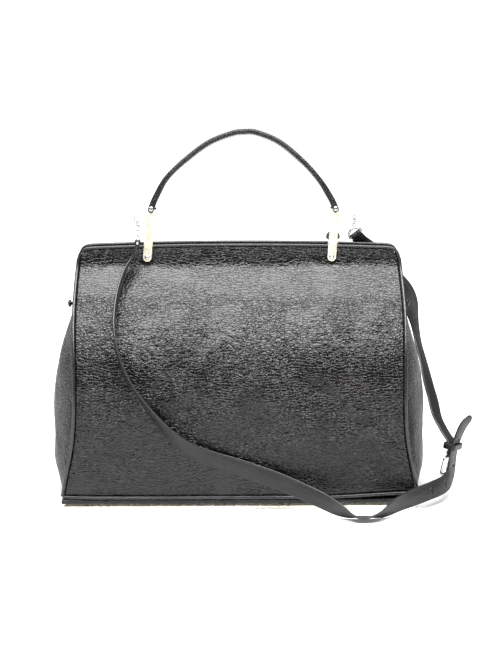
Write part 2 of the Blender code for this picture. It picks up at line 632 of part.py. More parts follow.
def turned_ring(bm, major, minor, place, around=16, across=8):
    """A closed round ring in the XY plane of place."""
    rows = []
    for i in range(around):
        turn = Matrix.Rotation(math.tau * i / around, 4, "Z")
        rows.append([bm.verts.new(place @ turn @ Vector((major + minor * math.cos(math.tau * j / across), 0,
                                                         minor * math.sin(math.tau * j / across))))
                     for j in range(across)])
    for i in range(around):
        low, high = rows[i], rows[(i + 1) % around]
        for j in range(across):
            k = (j + 1) % across
            bm.faces.new((low[j], low[k], high[k], high[j]))
    bmesh.ops.recalc_face_normals(bm, faces=bm.faces)


def handle():
    """The rolled leather handle, wide in the middle and narrow at the eyes."""
    out = arm_axes()[2]
    start = Vector(ARM_PIVOT["left"])

    def in_plane(x, z):
        return Vector((x, start.y + (z - start.z) * math.tan(HANDLE_LEAN), z))

    line = smooth_line([in_plane(x, z) for x, z in HANDLE_LINE], 2)
    first, last = (line[0] - line[1]).normalized(), (line[-1] - line[-2]).normalized()
    line = [line[0] + first * 0.0032] + line + [line[-1] + last * 0.0032]
    rings = []
    for i, point in enumerate(line):
        ahead = line[min(i + 1, len(line) - 1)] - line[max(i - 1, 0)]
        side = ahead.normalized().cross(out)
        blend = min(max((min(i, len(line) - 1 - i) - 2) / 6, 0.0), 1.0)
        half_wide = 0.0033 + 0.0027 * blend
        half_thick = 0.0031 - 0.0006 * blend
        ring = []
        for k in range(10):
            turn = math.tau * k / 10
            c, s = math.cos(turn), math.sin(turn)
            ring.append(point + out * half_wide * math.copysign(abs(c) ** 0.6, c)
                        + side * half_thick * math.copysign(abs(s) ** 0.6, s))
        rings.append(ring)
    obj = loft("handle", rings, "leather")
    for which, radius, way in (("left", 0.0013, line[3] - line[1]), ("right", 0.0016, line[-4] - line[-2])):
        eye = arm_frame(which) @ Vector((0, EYE_AT, 0))
        along = way.normalized()
        place = Matrix((along.cross(out), along, out)).transposed().to_4x4()
        bm = bmesh.new()
        bmesh.ops.create_cube(bm, size=1.0)
        bmesh.ops.scale(bm, vec=(0.012, 0.0092, 0.0019), verts=bm.verts)
        bmesh.ops.translate(bm, vec=(0, -0.0014, 0), verts=bm.verts)
        bmesh.ops.transform(bm, matrix=Matrix.Translation(eye) @ place, verts=bm.verts)
        boolean(obj, from_bmesh(f"cut_slot_{which}", bm, cutter=True, smooth=False))
        boolean(obj, rod(f"cut_handle_{which}", eye - 0.008 * out, eye + 0.008 * out, radius, cutter=True,
                         sides=20))
    return obj


# ---- the shoulder strap ----------------------------------------------------------------
def strap(name, route, narrow_start, steps=2):
    """A flat strap along its route; narrow_start is True where the first end is tapered."""
    line = smooth_line([point for point, _ in route], steps)
    sides = smooth_line([wide for _, wide in route], steps)
    rings = []
    for i, (point, wide) in enumerate(zip(line, sides)):
        ahead = (line[min(i + 1, len(line) - 1)] - line[max(i - 1, 0)]).normalized()
        wide = (wide - ahead * wide.dot(ahead)).normalized()
        flat = ahead.cross(wide)
        grow = min(i / 4, 1.0) if narrow_start else 1.0
        half = (STRAP_END_WIDE + (STRAP_WIDE - STRAP_END_WIDE) * grow) / 2
        corners = ((-1, -1), (1, -1), (1, 1), (-1, 1))
        rings.append([point + wide * half * a + flat * STRAP_THICK / 2 * b for a, b in corners])
    return loft(name, rings, "leather")


def d_ring(name, middle, bar, arch, radius):
    """A D-shaped ring: a straight bar and a half circle on the arch side."""
    bar, arch = Vector(bar).normalized(), Vector(arch).normalized()
    line = [Vector(middle) + bar * radius * math.cos(math.radians(a)) + arch * radius * math.sin(math.radians(a))
            for a in range(0, 181, 15)]
    line += [Vector(middle) - bar * radius * 0.5, Vector(middle) + bar * radius * 0.5]
    return wire(name, line, WIRE_R, "silver", cyclic=True, resolution=1)


def clasp(which, sign):
    """A small hook: a ring through the arm's ear, with a stub that leans outward."""
    place = arm_frame(which) @ Matrix.Translation((sign * (ARM_WIDE / 2 + 0.0019), 0.0405, 0))
    bm = bmesh.new()
    stand = place @ Matrix.Translation((sign * 0.0026, 0, 0)) @ Matrix.Rotation(math.radians(90), 4, "X")
    turned_ring(bm, 0.0026, 0.0006, stand)
    ring = from_bmesh(f"clasp_{which}", bm, "gold")
    start = place @ Vector((sign * 0.0052, 0.0003, 0))
    end = place @ Vector((sign * 0.0060, 0.0090, 0))
    boolean(ring, rod(f"cut_clasp_{which}", start, end, 0.0012, cutter=True, sides=12), "UNION")


def shoulder_strap():
    strap("strap_long", STRAP_LONG, True)
    strap("strap_short", STRAP_SHORT, True)
    d_ring("d_ring_left", (-0.0994, -0.0262, 0.2545), (0, 1, 0), (0.1, 0, 1), 0.0070)
    d_ring("d_ring_right", (0.1172, 0.0128, 0.2566), (0.8, 0, 0.6), (-0.6, 0, 0.8), 0.0070)
    wire("chain_left", [(-0.1033, -0.0080, 0.2762), (-0.0990, -0.0165, 0.2695), (-0.0985, -0.0235, 0.2640)],
         0.0011, "silver", resolution=1)
    wire("chain_right", [(0.1125, -0.0072, 0.2790), (0.1150, 0.0020, 0.2730), (0.1140, 0.0095, 0.2660)],
         0.0011, "silver", resolution=1)
    wide, tall = BUCKLE_HALF
    bend = 0.0025
    corners = [(-wide, -tall), (wide, -tall), (wide, tall), (-wide, tall)]
    line = []
    for i in range(4):
        a, b, c = (Vector((*corners[(i + k - 1) % 4], 0)) for k in range(3))
        middle = b + ((a - b).normalized() + (c - b).normalized()) * bend * 0.29
        line += [b + (a - b).normalized() * bend, middle, b + (c - b).normalized() * bend]
    wire("buckle", [BUCKLE_AT + BUCKLE_ACROSS * p.x + BUCKLE_UP * p.y for p in line], WIRE_R, "silver",
         cyclic=True)
    wire("buckle_prong", [BUCKLE_AT + BUCKLE_UP * up + BUCKLE_OUT * out
                          for up, out in ((0.0066, 0.0), (-0.0066, 0.0))],
         0.0008, "silver", resolution=1)
    keeper()


def keeper():
    """A leather loop round both straps above the buckle."""
    middle = BUCKLE_AT + BUCKLE_UP * 0.0205 + BUCKLE_OUT * 0.0018
    place = Matrix((BUCKLE_ACROSS, BUCKLE_OUT, BUCKLE_UP)).transposed().to_4x4()

    def block(name, size, kind=None, cutter=False):
        bm = bmesh.new()
        bmesh.ops.create_cube(bm, size=1.0)
        bmesh.ops.scale(bm, vec=size, verts=bm.verts)
        bmesh.ops.transform(bm, matrix=Matrix.Translation(middle) @ place, verts=bm.verts)
        bmesh.ops.recalc_face_normals(bm, faces=bm.faces)
        return from_bmesh(name, bm, kind, cutter, smooth=False)

    loop = block("strap_keeper", (0.0220, 0.0130, 0.0060), "leather")
    boolean(loop, block("cut_keeper", (0.0192, 0.0102, 0.0100), cutter=True))


def main():
    clear_scene()
    make_collections()
    base()
    leather_body()
    piping()
    lining()
    frame()
    zip_fastener()
    for which, sign in (("left", -1), ("right", 1)):
        arm(which, sign)
        clasp(which, sign)
    handle()
    shoulder_strap()


main()
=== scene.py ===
"""The doctor bag's looks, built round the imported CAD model. Metres, +Z up, front at -Y."""
import json
import math

import bmesh
import bpy
from mathutils import Matrix, Vector, noise
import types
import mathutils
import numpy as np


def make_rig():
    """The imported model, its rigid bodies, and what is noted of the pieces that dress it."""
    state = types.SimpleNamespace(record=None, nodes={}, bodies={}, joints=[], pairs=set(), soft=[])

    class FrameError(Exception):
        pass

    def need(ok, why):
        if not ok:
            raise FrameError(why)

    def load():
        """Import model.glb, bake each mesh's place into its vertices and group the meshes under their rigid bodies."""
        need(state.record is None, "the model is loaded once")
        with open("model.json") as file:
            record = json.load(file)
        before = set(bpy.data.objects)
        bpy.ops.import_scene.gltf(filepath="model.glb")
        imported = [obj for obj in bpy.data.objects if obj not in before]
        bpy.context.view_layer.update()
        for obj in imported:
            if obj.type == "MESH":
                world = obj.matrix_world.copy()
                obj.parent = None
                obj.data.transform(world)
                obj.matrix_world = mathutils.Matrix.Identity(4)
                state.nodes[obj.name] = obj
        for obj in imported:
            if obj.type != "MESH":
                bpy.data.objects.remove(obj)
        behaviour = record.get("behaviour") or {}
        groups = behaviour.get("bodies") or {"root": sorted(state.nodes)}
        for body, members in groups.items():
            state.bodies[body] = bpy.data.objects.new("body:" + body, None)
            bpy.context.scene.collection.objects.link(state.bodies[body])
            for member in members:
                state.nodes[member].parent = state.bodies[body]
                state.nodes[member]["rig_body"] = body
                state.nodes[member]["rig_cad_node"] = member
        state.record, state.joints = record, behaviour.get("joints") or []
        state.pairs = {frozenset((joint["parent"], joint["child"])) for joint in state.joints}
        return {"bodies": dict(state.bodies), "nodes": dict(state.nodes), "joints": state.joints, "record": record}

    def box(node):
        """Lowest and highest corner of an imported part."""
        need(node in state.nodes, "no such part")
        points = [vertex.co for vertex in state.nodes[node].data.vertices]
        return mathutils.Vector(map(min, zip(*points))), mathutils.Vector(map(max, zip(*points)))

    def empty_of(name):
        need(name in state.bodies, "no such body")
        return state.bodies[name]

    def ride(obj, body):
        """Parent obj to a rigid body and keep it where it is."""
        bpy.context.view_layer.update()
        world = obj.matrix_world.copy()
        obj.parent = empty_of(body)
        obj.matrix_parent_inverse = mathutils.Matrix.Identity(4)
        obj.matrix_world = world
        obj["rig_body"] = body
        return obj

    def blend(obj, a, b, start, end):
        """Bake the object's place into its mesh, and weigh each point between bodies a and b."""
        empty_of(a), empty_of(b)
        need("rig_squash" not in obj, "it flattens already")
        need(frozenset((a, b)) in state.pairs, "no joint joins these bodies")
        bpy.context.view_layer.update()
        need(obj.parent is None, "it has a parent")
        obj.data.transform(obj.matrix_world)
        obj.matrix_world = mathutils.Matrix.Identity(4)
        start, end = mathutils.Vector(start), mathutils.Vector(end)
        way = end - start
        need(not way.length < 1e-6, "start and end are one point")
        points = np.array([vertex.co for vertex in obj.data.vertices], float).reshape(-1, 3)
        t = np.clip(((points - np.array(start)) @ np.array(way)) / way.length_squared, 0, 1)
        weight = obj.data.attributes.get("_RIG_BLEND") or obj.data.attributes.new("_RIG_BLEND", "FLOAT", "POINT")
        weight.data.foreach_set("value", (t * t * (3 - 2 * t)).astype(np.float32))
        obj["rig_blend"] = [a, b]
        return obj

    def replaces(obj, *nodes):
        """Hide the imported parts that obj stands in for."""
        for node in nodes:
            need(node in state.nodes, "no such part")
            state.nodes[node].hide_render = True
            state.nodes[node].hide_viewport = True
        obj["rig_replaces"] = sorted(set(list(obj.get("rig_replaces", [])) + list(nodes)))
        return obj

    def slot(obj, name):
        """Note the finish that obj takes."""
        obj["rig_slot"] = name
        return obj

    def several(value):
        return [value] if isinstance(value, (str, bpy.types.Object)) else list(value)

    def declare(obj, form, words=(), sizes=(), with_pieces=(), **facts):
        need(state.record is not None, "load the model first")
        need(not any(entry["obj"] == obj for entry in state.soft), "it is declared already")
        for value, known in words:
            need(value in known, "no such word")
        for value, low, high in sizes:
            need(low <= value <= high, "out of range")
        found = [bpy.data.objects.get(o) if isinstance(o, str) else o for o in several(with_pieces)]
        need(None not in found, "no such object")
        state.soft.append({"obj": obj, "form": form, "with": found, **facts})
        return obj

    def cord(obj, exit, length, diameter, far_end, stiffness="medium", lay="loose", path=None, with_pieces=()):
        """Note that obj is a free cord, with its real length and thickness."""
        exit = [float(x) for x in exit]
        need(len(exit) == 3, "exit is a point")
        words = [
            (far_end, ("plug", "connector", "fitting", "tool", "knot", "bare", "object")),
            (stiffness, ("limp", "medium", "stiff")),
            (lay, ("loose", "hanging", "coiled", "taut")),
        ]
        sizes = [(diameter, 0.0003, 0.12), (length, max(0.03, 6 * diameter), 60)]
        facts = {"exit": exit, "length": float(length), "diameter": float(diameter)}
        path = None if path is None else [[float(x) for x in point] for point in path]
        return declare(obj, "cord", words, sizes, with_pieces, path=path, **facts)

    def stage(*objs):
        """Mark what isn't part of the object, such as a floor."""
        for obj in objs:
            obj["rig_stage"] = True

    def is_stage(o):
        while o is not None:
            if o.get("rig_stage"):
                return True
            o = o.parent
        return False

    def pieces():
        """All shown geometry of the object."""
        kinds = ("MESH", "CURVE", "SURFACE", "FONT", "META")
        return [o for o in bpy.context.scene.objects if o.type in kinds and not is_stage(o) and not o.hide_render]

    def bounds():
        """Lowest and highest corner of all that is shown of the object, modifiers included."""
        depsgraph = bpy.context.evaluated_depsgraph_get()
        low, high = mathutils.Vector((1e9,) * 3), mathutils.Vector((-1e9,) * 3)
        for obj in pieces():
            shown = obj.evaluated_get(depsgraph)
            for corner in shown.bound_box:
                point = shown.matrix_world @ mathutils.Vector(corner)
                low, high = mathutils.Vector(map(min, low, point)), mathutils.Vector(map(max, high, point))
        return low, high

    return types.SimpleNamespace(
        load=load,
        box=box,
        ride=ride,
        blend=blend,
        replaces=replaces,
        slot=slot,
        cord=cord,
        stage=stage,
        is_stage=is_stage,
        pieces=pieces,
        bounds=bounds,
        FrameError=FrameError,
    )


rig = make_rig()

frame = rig.load()
cad_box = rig.bounds()

# ---- the leather body's driving sizes, the same as the CAD model's --------------------
LEATHER = 0.0022
GUSSET_LEATHER = 0.0018
BEAD = 0.0016
GAP = 0.0003
PANEL_LOW, PANEL_TOP = 0.0142, 0.2475
BEAD_LOW = 0.0118
TOP_DROP = 0.003
CORNER = 0.009
EDGE_ROLL = 0.004
HINGE_Z = 0.190
SEAM = 0.0015
GUSSET_TOP, FLAP_LOW, SPLIT_Y = 0.236, 0.150, 0.0035
LINING_LOW, LINING_TOP, SKIRT_LOW, SKIRT_TOP = 0.0125, 0.165, 0.152, 0.2375
ZIP_Z, ZIP_HALF, SLIDER_X = 0.2415, 0.145, 0.0935
DEPTH = [(0.010, 0.0820), (0.030, 0.0850), (0.080, 0.0875), (0.120, 0.0850), (0.150, 0.0765),
         (0.175, 0.0620), (0.200, 0.0420), (0.218, 0.0255), (0.230, 0.0160), (0.251, 0.0120)]
HALF_LENGTH = [(0.010, 0.1735), (0.030, 0.1695), (0.070, 0.1620), (0.130, 0.1600),
               (0.190, 0.1615), (0.220, 0.1600), (0.251, 0.1570)]
GUSSET_OUT = [(0.010, 0.1765), (0.030, 0.1840), (0.060, 0.1845), (0.100, 0.1850), (0.140, 0.1785),
              (0.160, 0.1722), (0.180, 0.1662), (0.192, 0.1640), (0.210, 0.1625), (0.240, 0.1590)]
# the hinged back half bends away from the root between these two points
BEND = ((0, 0.062, 0.175), (0, 0.0265, 0.2165))

# ---- handle and arms ------------------------------------------------------------------
HANDLE_LEAN = math.radians(10.84)
ARM_TILT = math.radians(4.8)
ARM_PIVOT = {"left": Vector((-0.0905, -0.0168, 0.2384)), "right": Vector((0.0913, -0.0168, 0.2384))}
ARM_WIDE, ARM_THICK, ARM_CAP, EYE_AT = 0.0086, 0.0024, 0.0430, 0.0475
EAR_AT, EAR_OUT, TANG_HALF = 0.0405, 0.0019, 0.0022
HANDLE_LINE = [(-0.0865, 0.2849), (-0.0845, 0.2905), (-0.0808, 0.2985), (-0.0715, 0.3145),
               (-0.0550, 0.3305), (-0.0305, 0.3487), (-0.0070, 0.3580), (0.0053, 0.3597),
               (0.0180, 0.3588), (0.0410, 0.3490), (0.0650, 0.3290), (0.0800, 0.3120),
               (0.0893, 0.2975), (0.0930, 0.2905), (0.0953, 0.2849)]

# ---- the shoulder strap: route points, each with the direction of the strap's width ---
STRAP_WIDE, STRAP_END_WIDE, STRAP_HALF_THICK, THREAD_AT = 0.017, 0.013, 0.001, 0.00092
STRAP_LONG = [
    ((-0.1002, -0.0262, 0.2520), (0, 1, 0)),
    ((-0.1055, -0.0268, 0.2400), (0, 1, 0)),
    ((-0.1125, -0.0330, 0.2255), (0, 0.90, -0.40)),
    ((-0.1177, -0.0472, 0.2098), (0, 0.77, -0.62)),
    ((-0.1206, -0.0609, 0.1934), (0, 0.77, -0.62)),
    ((-0.1211, -0.0727, 0.1778), (0, 0.82, -0.55)),
    ((-0.1190, -0.0823, 0.1610), (-0.05, 0.87, -0.48)),
    ((-0.1131, -0.0893, 0.1438), (-0.10, 0.93, -0.30)),
    ((-0.1045, -0.0945, 0.1271), (-0.15, 0.95, -0.20)),
    ((-0.0931, -0.0975, 0.1100), (-0.30, 0.93, -0.20)),
    ((-0.0798, -0.0978, 0.0924), (-0.40, 0.85, -0.35)),
    ((-0.0656, -0.0965, 0.0765), (-0.45, 0.70, -0.55)),
    ((-0.0494, -0.0945, 0.0630), (-0.45, 0.45, -0.77)),
    ((-0.0292, -0.0930, 0.0534), (-0.35, 0.25, -0.90)),
    ((-0.0080, -0.0922, 0.0465), (-0.30, 0.15, -0.94)),
    ((0.0143, -0.0930, 0.0392), (-0.30, 0.12, -0.95)),
    ((0.0384, -0.0960, 0.0308), (-0.32, 0.12, -0.94)),
    ((0.0575, -0.1010, 0.0235), (-0.35, 0.18, -0.92)),
    ((0.0763, -0.1092, 0.0165), (-0.40, 0.30, -0.87)),
    ((0.0947, -0.1215, 0.0095), (-0.35, 0.65, -0.67)),
    ((0.1135, -0.1290, 0.0040), (-0.10, 0.98, -0.15)),
    ((0.1330, -0.1250, 0.0062), (0.25, 0.87, -0.42)),
    ((0.1534, -0.1090, 0.0125), (0.35, 0.45, -0.82)),
    ((0.1745, -0.0890, 0.0152), (0.38, 0.12, -0.92)),
    ((0.1925, -0.0680, 0.0162), (0.45, 0.10, -0.89)),
    ((0.2030, -0.0530, 0.0175), (0.50, 0.40, -0.75)),
    ((0.2088, -0.0432, 0.0225), (0.49, 0.80, -0.35)),
    ((0.2106, -0.0410, 0.0325), (0.49, 0.857, -0.10)),
    ((0.2115, -0.0402, 0.0420), (0.49, 0.857, -0.10)),
    ((0.2141, -0.0403, 0.0536), (0.49, 0.857, -0.10)),
    ((0.2174, -0.0388, 0.0632), (0.50, 0.85, -0.15)),
    ((0.2225, -0.0360, 0.0727), (0.50, 0.83, -0.25)),
    ((0.2300, -0.0340, 0.0810), (0.50, 0.80, -0.33)),
]
STRAP_SHORT = [
    ((0.1186, 0.0138, 0.2545), (0.80, 0.0, 0.60)),
    ((0.1232, 0.0168, 0.2490), (0.80, -0.10, 0.60)),
    ((0.1335, 0.0185, 0.2395), (0.81, -0.20, 0.55)),
    ((0.1440, 0.0228, 0.2270), (0.81, -0.36, 0.46)),
    ((0.1560, 0.0355, 0.2130), (0.82, -0.36, 0.46)),
    ((0.1690, 0.0500, 0.1975), (0.88, -0.25, 0.40)),
    ((0.1770, 0.0580, 0.1800), (0.85, 0.30, 0.30)),
    ((0.1815, 0.0600, 0.1600), (0.55, 0.80, 0.0)),
    ((0.1850, 0.0520, 0.1400), (0.40, 0.90, -0.10)),
    ((0.1895, 0.0350, 0.1210), (0.50, 0.80, -0.30)),
    ((0.1925, 0.0170, 0.1040), (0.66, 0.65, -0.38)),
    ((0.1955, 0.0000, 0.0905), (0.70, 0.62, -0.41)),
    ((0.1980, -0.0150, 0.0770), (0.65, 0.68, -0.38)),
    ((0.2045, -0.0290, 0.0645), (0.56, 0.80, -0.25)),
    ((0.2110, -0.0385, 0.0541), (0.49, 0.857, -0.10)),
    ((0.2090, -0.0382, 0.0452), (0.49, 0.857, -0.10)),
]
BUCKLE_AT = Vector((0.2060, -0.0380, 0.0325))
BUCKLE_UP = Vector((0.2, 0.0, 0.98)).normalized()
BUCKLE_OUT = Vector((0.84, -0.5, -0.1714)).normalized()
BUCKLE_ACROSS = BUCKLE_UP.cross(BUCKLE_OUT)
BUCKLE_HALF = (0.0106, 0.0090)
WIRE_R = 0.0012


# ---- camera, floor and light ----------------------------------------------------------
def camera():
    """Two metres in front, ten degrees above the horizon."""
    azimuth, elevation, distance = math.radians(-1), math.radians(10), 2.0
    target = Vector((0.011, 0.0, 0.1675))
    back = Vector((math.sin(azimuth) * math.cos(elevation), -math.cos(azimuth) * math.cos(elevation),
                   math.sin(elevation)))
    data = bpy.data.cameras.new("camera")
    data.lens, data.sensor_width = 110.8, 36.0
    obj = bpy.data.objects.new("camera", data)
    bpy.context.scene.collection.objects.link(obj)
    obj.location = target + back * distance
    obj.rotation_mode = "QUATERNION"
    obj.rotation_quaternion = (-back).to_track_quat("-Z", "Y")
    bpy.context.scene.camera = obj


def area_light(name, place, aim, size, power):
    data = bpy.data.lights.new(name, "AREA")
    data.shape = "RECTANGLE"
    data.size, data.size_y = size
    data.energy = power
    obj = bpy.data.objects.new(name, data)
    bpy.context.scene.collection.objects.link(obj)
    obj.location = place
    obj.rotation_mode = "QUATERNION"
    obj.rotation_quaternion = (Vector(aim) - Vector(place)).to_track_quat("-Z", "Y")
    obj.visible_camera = False


def studio():
    bpy.context.scene.view_settings.view_transform = "Standard"
    world = bpy.data.worlds.new("studio")
    bpy.context.scene.world = world
    world.use_nodes = True
    tree = world.node_tree
    shine = tree.nodes["Background"]
    shine.inputs["Color"].default_value = (1, 1, 1, 1)
    path = tree.nodes.new("ShaderNodeLightPath")
    level = tree.nodes.new("ShaderNodeMapRange")
    level.inputs["To Min"].default_value = 0.24
    level.inputs["To Max"].default_value = 1.0
    tree.links.new(path.outputs["Is Camera Ray"], level.inputs["Value"])
    tree.links.new(level.outputs["Result"], shine.inputs["Strength"])
    area_light("overhead", (0, -0.36, 1.05), (0, -0.26, 0.0), (1.3, 0.70), 40)
    area_light("backdrop_wash", (0, 1.2, 1.3), (0, 1.0, 0.0), (2.4, 1.0), 10)
    area_light("left_fill", (-1.4, -0.7, 0.55), (0, 0, 0.12), (0.5, 1.1), 0.8)
    bm = bmesh.new()
    bmesh.ops.create_circle(bm, cap_ends=True, segments=96, radius=3.5)
    floor = from_bmesh("floor", bm)
    floor.data.materials.append(floor_material())
    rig.stage(floor)


# ---- node helpers and materials -------------------------------------------------------
class Surface:
    """A material with a Principled shader, and short ways to add nodes before it."""

    def __init__(self, name, **values):
        self.mat = bpy.data.materials.new(name)
        self.mat.use_nodes = True
        self.tree = self.mat.node_tree
        self.shader = self.tree.nodes["Principled BSDF"]
        for socket, value in values.items():
            self.shader.inputs[socket.replace("_", " ")].default_value = value

    def add(self, kind, settings=None, **inputs):
        node = self.tree.nodes.new("ShaderNode" + kind)
        for key, value in (settings or {}).items():
            setattr(node, key, value)
        for key, value in inputs.items():
            name = key.replace("_", " ")
            by_number = name[:1] == "i" and name[1:].isdigit()
            socket = node.inputs[int(name[1:]) if by_number else name]
            if isinstance(value, bpy.types.NodeSocket):
                self.tree.links.new(value, socket)
            else:
                socket.default_value = value
        return node

    def link(self, output, socket):
        self.tree.links.new(output, self.shader.inputs[socket])

    def place(self, source="UV", stretch=(1, 1, 1)):
        where = self.add("TexCoord")
        return self.add("Mapping", Vector=where.outputs[source], Scale=stretch).outputs["Vector"]

    def math(self, operation, a, b=0.0):
        return self.add("Math", {"operation": operation}, i0=a, i1=b).outputs[0]

    def span(self, value, low, high, to_low, to_high):
        return self.add("MapRange", {"interpolation_type": "SMOOTHSTEP"}, Value=value, From_Min=low,
                        From_Max=high, To_Min=to_low, To_Max=to_high).outputs["Result"]

    def noise(self, where, scale, detail=2.0, rough=0.5):
        return self.add("TexNoise", Vector=where, Scale=scale, Detail=detail, Roughness=rough).outputs["Fac"]

    def mix(self, share, first, second):
        """A mix of two colours, each of them a colour or a node's output."""
        ends = [c if isinstance(c, bpy.types.NodeSocket) else (*c, 1) for c in (first, second)]
        return self.add("Mix", {"data_type": "RGBA"}, i0=share, i6=ends[0], i7=ends[1]).outputs[2]

    def bump(self, height, distance, strength=1.0, below=None):
        node = self.add("Bump", Height=height, Distance=distance, Strength=strength)
        if below is not None:
            self.tree.links.new(below, node.inputs["Normal"])
        return node.outputs["Normal"]


def leather_material(name, source="UV", cell=0.0021, stretch=1.7, height=0.00052,
                     tint=(0.0022, 0.0020, 0.0020), roughness=(0.16, 0.26), shine=0.38):
    """Pebbled black leather: warped cells with creases between them, fine pores, uneven polish, painted shade in the
    creases and faint tinted patches of painted reflection.
    Where a mesh has a 'polish' attribute, the grain there is pressed flat."""
    s = Surface(name, Specular_IOR_Level=shine, Coat_Weight=0.04, Coat_Roughness=0.2)
    where = s.place(source, (1 / stretch, 1, 1))
    warp = s.add("TexNoise", Vector=where, Scale=90.0, Detail=2.0).outputs["Color"]
    warped = s.add("VectorMath", {"operation": "MULTIPLY_ADD"}, i0=warp, i1=(cell * 1.5,) * 3,
                   i2=where).outputs[0]
    cells = s.add("TexVoronoi", {"feature": "SMOOTH_F1"}, Vector=warped, Scale=1 / cell,
                  Smoothness=0.15).outputs["Distance"]
    creases = s.add("TexVoronoi", {"feature": "DISTANCE_TO_EDGE"}, Vector=warped,
                    Scale=0.8 / cell).outputs["Distance"]
    dome = s.math("SUBTRACT", 1.0, cells)
    cut = s.span(creases, 0.0, 0.16, 0.0, 0.5)
    pores = s.noise(where, 2600.0, 2.0)
    flow = s.noise(where, 260.0, 3.0, 0.6)
    polish = s.add("Attribute", {"attribute_name": "polish"}).outputs["Fac"]
    keep = s.math("SUBTRACT", 1.0, polish)
    grain = s.math("MULTIPLY", s.math("ADD", s.math("ADD", dome, cut), s.math("MULTIPLY", flow, 1.1)), keep)
    rough_bump = s.bump(grain, height)
    s.link(s.bump(pores, height * 0.09, 0.7, rough_bump), "Normal")
    wear = s.noise(where, 22.0, 4.0, 0.6)
    s.link(s.span(wear, 0.35, 0.68, *roughness), "Roughness")
    lit = tuple(min(1.0, c * 1.9 + 0.001) for c in tint)
    # painted reflection: the tint of a reflection in the leather, laid into the base colour
    painted_reflection_tint = (tint[0] * 1.9, tint[1] * 1.35, tint[2] * 1.1)
    # painted shade: the base colour is darker along the grain's creases
    shade = s.mix(s.span(creases, 0.0, 0.25, 0.0, 0.8), tuple(c * 0.55 for c in tint), tint)
    tone = s.mix(s.span(s.noise(where, 34.0, 3.0), 0.5, 0.72, 0.0, 0.75), shade, lit)
    # painted reflection: faint tinted patches over the tone, placed by noise
    tone_and_painted_reflection = s.mix(s.span(s.noise(where, 14.0, 1.0), 0.60, 0.75, 0.0, 0.8), tone, painted_reflection_tint)
    s.link(tone_and_painted_reflection, "Base Color")
    return s.mat


def edge_material(name, tint=(0.007, 0.007, 0.008), roughness=(0.26, 0.42)):
    """Painted leather edges and piping: smoother than the panels, with small lumps."""
    s = Surface(name, Specular_IOR_Level=0.5, Coat_Weight=0.1, Coat_Roughness=0.2)
    where = s.place("UV")
    lumps = s.noise(where, 420.0, 2.0)
    fine = s.noise(where, 2200.0, 2.0)
    s.link(s.bump(fine, 0.00003, 0.8, s.bump(lumps, 0.00018)), "Normal")
    s.link(s.span(lumps, 0.35, 0.65, *roughness), "Roughness")
    s.link(s.mix(s.span(s.noise(where, 60.0, 3.0), 0.35, 0.7, 0.0, 1.0), tint, tuple(c * 1.8 for c in tint)),
           "Base Color")
    return s.mat


def metal_material(name, tint, roughness, scratch=0.00001, source="Object", dull=0.75, metallic=1.0):
    """Polished metal with fine wiping marks and slightly duller patches."""
    s = Surface(name, Metallic=metallic, Specular_IOR_Level=0.5)
    where = s.place(source)
    lines = s.noise(s.place(source, (60, 900, 900)), 1.0, 3.0)
    patches = s.noise(where, 140.0, 3.0)
    s.link(s.bump(lines, scratch), "Normal")
    s.link(s.span(patches, 0.3, 0.7, roughness, roughness * 1.9), "Roughness")
    s.link(s.mix(s.span(patches, 0.35, 0.75, 0.0, 0.6), tint, tuple(c * dull for c in tint)), "Base Color")
    return s.mat


def woven_material(name, tint, pitch, source="Object"):
    """Plain woven cloth: crossing threads, slubs and slight fading."""
    s = Surface(name, Sheen_Weight=0.25, Sheen_Roughness=0.5, Specular_IOR_Level=0.25)
    where = s.place(source)
    threads = [s.add("TexWave", {"bands_direction": axis}, Vector=where, Scale=0.5 / pitch,
                     Distortion=0.6).outputs["Fac"] for axis in ("X", "Z")]
    weave = s.math("MULTIPLY", *threads)
    slub = s.noise(where, 700.0, 3.0)
    s.link(s.bump(s.math("ADD", weave, s.math("MULTIPLY", slub, 0.6)), 0.00012), "Normal")
    s.link(s.span(slub, 0.3, 0.7, 0.75, 0.95), "Roughness")
    s.link(s.mix(s.span(s.math("ADD", weave, slub), 0.4, 1.4, 0.0, 1.0), tuple(c * 0.6 for c in tint), tint),
           "Base Color")
    return s.mat


def board_material():
    s = Surface("fibre_board_look", Specular_IOR_Level=0.3)
    where = s.place("Object")
    fibres = s.noise(s.place("Object", (180, 1400, 400)), 1.0, 5.0, 0.65)
    s.link(s.bump(fibres, 0.0001), "Normal")
    s.link(s.span(fibres, 0.3, 0.7, 0.65, 0.9), "Roughness")
    stain = s.span(s.noise(where, 90.0, 4.0), 0.3, 0.7, 0.0, 1.0)
    s.link(s.mix(stain, (0.20, 0.14, 0.085), (0.33, 0.24, 0.15)), "Base Color")
    return s.mat


def thread_material():
    s = Surface("thread_look", Specular_IOR_Level=0.4)
    where = s.place("Object")
    twist = s.noise(where, 1800.0, 1.0)
    s.link(s.bump(twist, 0.00005), "Normal")
    s.link(s.span(twist, 0.3, 0.7, 0.45, 0.7), "Roughness")
    s.link(s.mix(twist, (0.014, 0.014, 0.016), (0.045, 0.045, 0.05)), "Base Color")
    return s.mat


def floor_material():
    """White studio floor that glows further out, where the lamps' light falls off."""
    s = Surface("floor_look", Roughness=0.6, Specular_IOR_Level=0.2)
    where = s.place("Object")
    far = s.add("VectorMath", {"operation": "LENGTH"}, i0=where).outputs["Value"]
    dust = s.noise(where, 6.0, 3.0)
    s.link(s.mix(dust, (0.90, 0.90, 0.90), (0.93, 0.93, 0.93)), "Base Color")
    s.shader.inputs["Emission Color"].default_value = (1, 1, 1, 1)
    s.link(s.span(far, 0.25, 1.0, 0.12, 1.05), "Emission Strength")
    return s.mat


